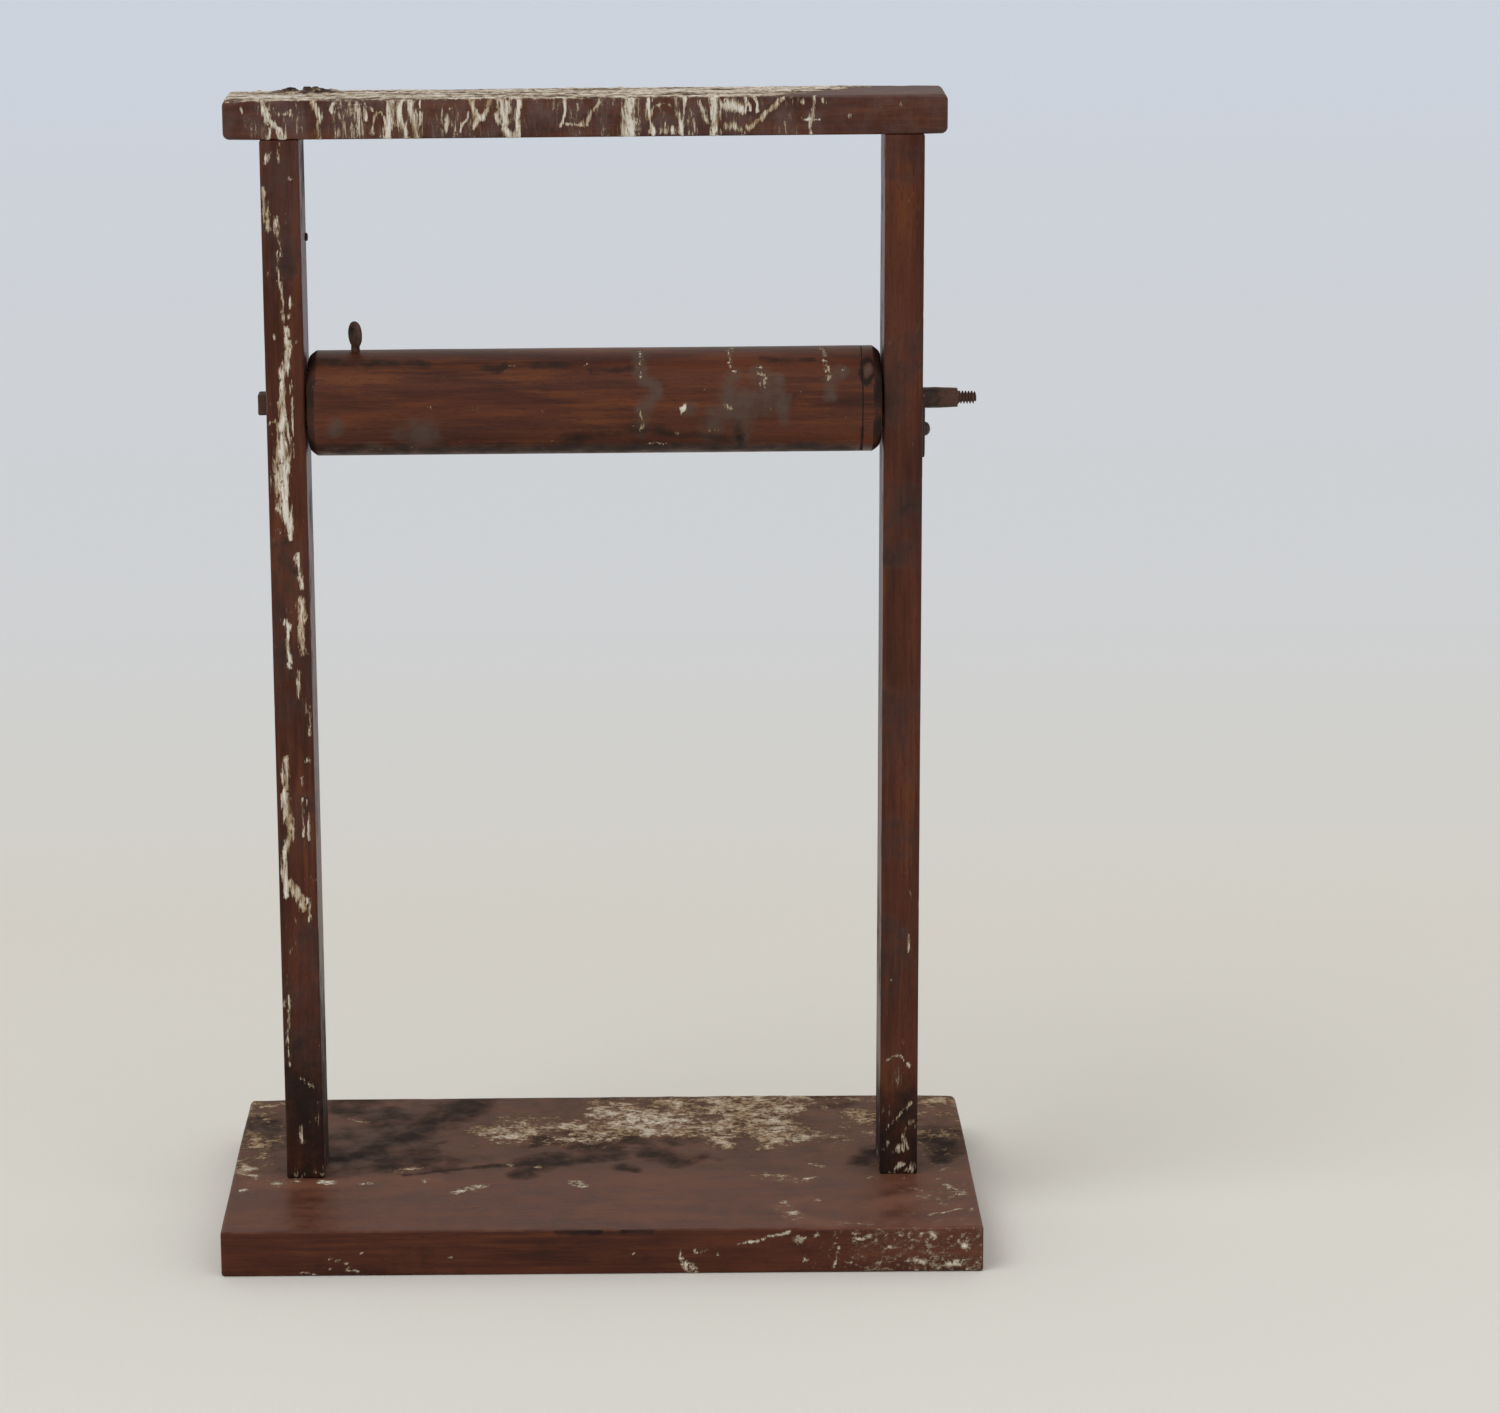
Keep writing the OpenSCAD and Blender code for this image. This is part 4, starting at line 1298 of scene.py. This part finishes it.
@dataclass
class Ironwork:
    """Axle, pivot screw, eye screw, plate, screws, nails and brads."""

    journal: float = 3.75 * MM
    journal_out: float = 6.2 * MM
    spike: float = 3.0 * MM
    square: float = 3.55 * MM
    square_taper: float = 0.35 * MM
    square_length: float = 7.0 * MM
    stud: float = 2.35 * MM
    stud_pitch: float = 1.10 * MM
    stud_depth: float = 0.85 * MM
    stud_nose: float = 1.3 * MM
    pivot_shank: float = 2.5 * MM
    pivot_pitch: float = 2.4 * MM
    pivot_depth: float = 0.55 * MM
    pivot_neck: float = 24 * MM
    pivot_point: float = 6 * MM
    eye_wire: float = 1.25 * MM
    eye_outer: float = 4.8 * MM
    eye_turn: float = np.radians(24)
    eye_shank: float = 1.6 * MM
    eye_pitch: float = 1.3 * MM
    eye_depth: float = 0.4 * MM
    notch: float = 3.85 * MM
    dark: bpy.types.Material = field(default_factory=OldIron("dark_iron", 0.35).material)
    rusty: bpy.types.Material = field(default_factory=OldIron("rusty_iron", 0.85).material)

    def axle(self) -> bpy.types.Object:
        """The crank axle: square spike, round journal, filed square and a real helical thread."""
        low, high = (np.array(corner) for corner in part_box("crank_axle"))
        middle = (low + high) / 2
        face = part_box("roller_cap")[0].x
        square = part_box("right_post")[1].x + self.journal_out
        thread = square + self.square_length
        parts = [np.linspace(low[0], face, 12), np.linspace(face, square, 40),
                 np.linspace(square, thread, 16), np.linspace(thread, high[0], 110)]
        along = np.concatenate(parts)
        kind = np.repeat(np.arange(4), [len(part) for part in parts])

        def radius(row: Array, turn: Array) -> Array:
            """Spike, journal, tapering square and thread, chosen by stretch."""
            x, which = along[row], kind[row]
            flat = np.maximum(np.abs(np.cos(turn)), np.abs(np.sin(turn)))
            nail = np.minimum(self.spike / flat, 1.38 * self.spike)
            part = np.clip((x - square) / (thread - square), 0, 1)
            filed = np.minimum((self.square - self.square_taper * part) / flat,
                               self.journal * (1 - 0.02 * part))
            fade = ramp(x, thread + 0.3 * self.stud_pitch, thread + self.stud_pitch)
            groove = ramp(screw_wave(x - thread, turn, self.stud_pitch), 0.1, 0.9) * fade
            nose = np.sqrt(1 - (1 - np.clip((high[0] - x) / self.stud_nose, 0, 1)) ** 2)
            cut = (self.stud - self.stud_depth * groove) * (0.45 + 0.55 * nose)
            return np.choose(which, [nail, np.full(turn.shape, self.journal), filed, cut])

        shape = spun(along, radius, 72).moved(0, middle[1], middle[2])
        made = self.piece("axle", shape, "roller", "crank_axle", "dark_iron", self.dark, 0.10)
        outside = ramp(read_points(made.data)[:, 0], square - 1.5 * MM, square + 3 * MM)
        dress(made, {"rust": outside})
        return made

    def pivot(self) -> bpy.types.Object:
        """The square-headed pivot screw, its head hammered round at the corners."""
        low, high = (np.array(corner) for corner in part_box("pivot_screw"))
        middle = (low + high) / 2
        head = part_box("left_post")[0].x - 0.2 * MM - low[0]
        size = np.array([head, high[1] - low[1], high[2] - low[2]])
        top = block(size, 0.35 * MM, 0.9 * MM, 3, lambda p: MM * (0.45 + 0.4 * cloud(p, 0.003, 81)))
        top = top.moved(low[0] + head / 2, middle[1], middle[2])
        start, neck = low[0] + head - 0.3 * MM, low[0] + self.pivot_neck
        along = np.concatenate([[start], np.linspace(start + 0.01 * MM, high[0], 160)])

        def radius(row: Array, turn: Array) -> Array:
            """A plain neck through the post, then a coarse wood thread that runs to a point."""
            x = along[row]
            wave = screw_wave(x - start, turn, self.pivot_pitch)
            depth = self.pivot_depth * ramp(x, neck, neck + 4 * MM)
            point = np.clip((high[0] - x) / self.pivot_point, 0.06, 1)
            return (self.pivot_shank - depth * wave) * point

        stem = spun(along, radius, 40).moved(0, middle[1], middle[2])
        return self.piece("pivot", top.joined(stem), "roller", "pivot_screw", "rusty_iron",
                          self.rusty, 0.16)

    def eye(self) -> bpy.types.Object:
        """The eye screw: a bent wire ring on a threaded shank, swept along its own line."""
        low, high = (np.array(corner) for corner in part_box("eye_screw"))
        middle = (low + high) / 2
        ring = self.eye_outer - self.eye_wire
        centre = np.array([middle[0], middle[1], high[2] - self.eye_outer])
        sweep = np.linspace(-0.5 * np.pi - 0.15, 1.5 * np.pi - 0.42, 56)[:, None]
        side = np.array([np.cos(self.eye_turn), np.sin(self.eye_turn), 0.0])
        out = np.array([-np.sin(self.eye_turn), np.cos(self.eye_turn), 0.0])
        away = np.cos(sweep) * out + np.sin(sweep) * np.array([0, 0, 1.0])
        arc = centre + ring * away
        wind = np.linspace(0, 2 * np.pi, 24, endpoint=False)
        cosine, sine = np.cos(wind), np.sin(wind)
        section = cosine[None, :, None] * away[:, None] + sine[None, :, None] * side
        hoop = loft(arc[:, None] + self.eye_wire * section)

        stem_z = np.linspace(low[2], centre[2] - ring - 0.4 * MM, 60)[:, None]
        wave = screw_wave(stem_z - low[2], wind, self.eye_pitch)
        in_wood = ramp(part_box("roller_barrel")[1].z - stem_z, 2 * MM, 3 * MM)
        point = np.clip((stem_z - low[2]) / (3 * MM), 0.1, 1)
        reach = (self.eye_shank - self.eye_depth * wave * in_wood) * point
        rings = np.stack([middle[0] + reach * cosine, middle[1] + reach * sine,
                          np.broadcast_to(stem_z, reach.shape)], axis=-1)
        shank = loft(rings[:, ::-1])
        return self.piece("eye", hoop.joined(shank), "roller", "eye_screw", "rusty_iron",
                          self.rusty, 0.14)

    def plate(self) -> bpy.types.Object:
        """The saddle plate, as a loft of thin sections from one horn of its notch to the other.

        A section joins a point of the notch (down one side, half round, up the other) to the
        point of the outline that lies the same way from the axle.
        """
        low, high = (np.array(corner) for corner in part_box("saddle_plate"))
        thick, half = high[0] - low[0], (high[1] - low[1]) / 2
        y, z = (low[1] + high[1]) / 2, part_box("crank_axle")[0].z + self.journal
        part = np.linspace(0, 1, 81)
        swing = np.pi + np.pi * np.clip((part - 0.1) / 0.8, 0, 1)
        direction = np.stack([np.cos(swing), np.sin(swing)], axis=1)
        rise = (high[2] - z) * np.clip(1 - np.minimum(part, 1 - part) / 0.1, 0, 1)
        reach = np.minimum(half / np.maximum(np.abs(direction[:, 0]), 1e-6),
                           (low[2] - z) / np.minimum(direction[:, 1], -1e-6))
        inner, outer = self.notch * direction, direction * reach[:, None]
        inner[:, 1] += rise
        outer[:, 1] += rise
        width = np.array([0, 0.04, 0.5, 0.96, 1, 1, 0.96, 0.5, 0.04, 0])
        depth = np.array([0.2, 0, 0, 0, 0.2, 0.8, 1, 1, 1, 0.8])
        flat = inner[:, None] + width[None, :, None] * (outer - inner)[:, None]
        x = np.broadcast_to((low[0] + depth * thick)[None, :, None], (*flat.shape[:2], 1))
        shape = loft(np.concatenate([x, flat], axis=2)).moved(0, y, z)
        return self.piece("saddle", shape, "stand", "saddle_plate", "dark_iron", self.dark, 0.08)

    def dome(self, name: str, node: str, body: str, kind: Fastener) -> bpy.types.Object:
        """A screw or nail along an axis, made as one turned skin: point, shank, head, crown.

        Args:
            name: the piece's name.
            node: the CAD node that it stands for.
            body: the body that it rides on.
            kind: its measures and the way its head looks.

        Returns:
            The piece.
        """
        low, high = (np.array(corner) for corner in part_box(node))
        axis, sign, axes, signs = kind.heading.value
        length = (high - low)[axis] / MM
        point = -length + 2.5 * kind.shank
        neck = -kind.edge - kind.crown
        under = kind.wide * (0.92 if kind.edge < 2 else kind.shank / kind.wide)
        part = np.linspace(0, 1, 12)
        arch = kind.crown * np.sqrt(np.clip(1 - (1 - part) ** 2, 0, 1)) - kind.crown
        along = MM * np.concatenate([np.linspace(-length, point, 6), np.linspace(point, neck, 30),
                                     [neck, -kind.crown], arch])
        reach = MM * np.concatenate([kind.shank * np.linspace(0.1, 1, 6), np.full(30, kind.shank),
                                     [under, kind.wide], kind.wide * (1 - part) + 0.02])
        crown_row = len(along) - len(part)
        sunk = -0.6 * MM if kind.slot else 0.0

        def lift(row: Array, turn: Array) -> Array:
            """Sinks the crown inside the driver slot."""
            inside = np.abs(reach[row] * np.cos(turn)) < kind.slot / 2 * MM
            return np.where(inside & (row > crown_row), sunk, 0.0)

        shape = spun(along, lambda row, turn: reach[row], 48, lift).turned(axes, signs)
        tip = (low + high) / 2
        tip[axis] = (high if sign > 0 else low)[axis]
        return self.piece(name, shape.moved(*tip), body, node, "dark_iron", self.dark, 0.04)

    def piece(self, name: str, shape: Surface, body: str, node: str, slot: str,
              material: bpy.types.Material, pitting: float) -> bpy.types.Object:
        """An iron piece with its pitted, hammered skin.

        Args:
            name: the piece's name.
            shape: its surface, in place.
            body: the body that it rides on.
            node: the CAD node that it stands for.
            slot: the name of a material slot; not used.
            material: its finish.
            pitting: height of its pitting, in millimetres.

        Returns:
            The piece.
        """
        made = add(name, shape, body, (node,), material)
        relief(made, lambda points, normals: (cloud(points, 0.0028, 91) - 0.5) * pitting * MM)
        made.data.set_sharp_from_angle(angle=np.radians(42))
        return made

    def build(self) -> list[bpy.types.Object]:
        """Builds all the ironwork."""
        made = [self.axle(), self.pivot(), self.eye(), self.plate()]
        made.append(self.dome("plate_screw", "saddle_screw", "stand", PLATE_SCREW))
        made.append(self.dome("inner_nail", "old_post_nail", "stand", INNER_NAIL))
        for side in ("left", "right"):
            for row in ("front", "rear"):
                made.append(self.dome(f"{side}_{row}_screw", f"{side}_foot_screw_{row}", "stand", FOOT_SCREW))
            made.append(self.dome(f"{side}_nail", f"{side}_rail_nail", "stand", RAIL_NAIL))
        for row in ("front", "rear"):
            made.append(self.dome(f"{row}_brad", f"cap_brad_{row}", "roller", CAP_BRAD))
        return made


# ---------------------------------------------------------------- stage

@dataclass
class Stage:
    """A pale floor, soft studio light and the camera.

    The floor's colours are spread over y from -0.5 m to 4 m, and the angles are in degrees.
    """

    reach: float = 16.0
    colours: tuple[tuple[float, Colour], ...] = (
        (0.07, (0.845, 0.850, 0.815)), (0.19, (0.785, 0.782, 0.735)),
        (0.33, (0.750, 0.795, 0.850)), (0.90, (0.725, 0.81, 0.945)))
    sky: Colour = (1.0, 0.955, 0.90)
    sky_power: float = 0.60
    lens: float = 113.17
    camera_at: Triple = (0.01031, -1.67736, 0.62277)
    pitch: float = -14.353
    yaw: float = 0.441
    roll: float = -0.590
    shift: float = 0.1063

    def floor(self) -> None:
        """A wide floor, warm near the object, a little darker behind it and cooler far away."""
        corners = self.reach * np.array([(-1, -1, 0), (1, -1, 0), (1, 1, 0), (-1, 1, 0)], float)
        data = Surface(corners, [np.array([[0, 1, 2, 3]])]).mesh("floor")
        plane = bpy.data.objects.new("floor", data)
        bpy.context.scene.collection.objects.link(plane)
        s = Shader("pale_floor")
        depth = s.node("ShaderNodeSeparateXYZ", None, {0: s.place}, "Y")
        colour = s.stops(depth * 0.222 + 0.111, *self.colours)
        weave = s.noise(s.place, 700.0, 3.0)
        data.materials.append(s.finish(colour, 0.9 + weave * 0.05, weave, 0.0001))

    def sun(self, name: str, towards: Triple, power: float, spread: float) -> None:
        """A far, soft light.

        Args:
            name: its name.
            towards: the way from the object to the light.
            power: its strength.
            spread: how many degrees of sky it fills; more is softer.
        """
        light = bpy.data.lights.new(name, "SUN")
        light.energy, light.angle = power, np.radians(spread)
        holder = bpy.data.objects.new(name, light)
        bpy.context.scene.collection.objects.link(holder)
        back = np.array(towards) / np.linalg.norm(towards)
        side = np.cross([0.0, 0.0, 1.0], back)
        side = side / np.linalg.norm(side)
        turn = np.stack([side, np.cross(back, side), back], axis=1)
        holder.matrix_world = Matrix(turn.tolist()).to_4x4()

    def light(self) -> None:
        """Pale surroundings, a key from the front left and a weak fill from the right."""
        world = bpy.data.worlds.new("studio")
        world.use_nodes = True
        sky = world.node_tree.nodes["Background"]
        sky.inputs["Color"].default_value = (*self.sky, 1.0)
        sky.inputs["Strength"].default_value = self.sky_power
        bpy.context.scene.world = world
        self.sun("key", (-0.62, -0.42, 1.0), 0.72, 34.0)
        self.sun("fill", (0.6, -0.9, 0.9), 0.22, 60.0)
        bpy.context.scene.view_settings.view_transform = "Standard"

    def camera(self) -> None:
        """The camera: turned by yaw, tipped by pitch, then rolled, all in degrees."""
        lens = bpy.data.cameras.new("camera")
        lens.lens, lens.shift_x = self.lens, self.shift
        holder = bpy.data.objects.new("camera", lens)
        bpy.context.scene.collection.objects.link(holder)
        turn = (Matrix.Rotation(np.radians(self.yaw), 3, "Z")
                @ Matrix.Rotation(np.radians(90 + self.pitch), 3, "X")
                @ Matrix.Rotation(np.radians(self.roll), 3, "Z"))
        holder.matrix_world = Matrix.Translation(self.camera_at) @ turn.to_4x4()
        bpy.context.scene.camera = holder

    def build(self) -> None:
        """Builds the whole stage."""
        self.floor()
        self.light()
        self.camera()


def main() -> None:
    """Builds the stage and every piece."""
    logging.basicConfig(level=logging.INFO, format="%(name)s: %(message)s")
    Stage().build()
    for assembly in (Stand(), Roller(), Ironwork()):
        for piece in assembly.build():
            LOG.info("%s: %d points", piece.name, len(piece.data.vertices))


if __name__ == "__main__":
    main()
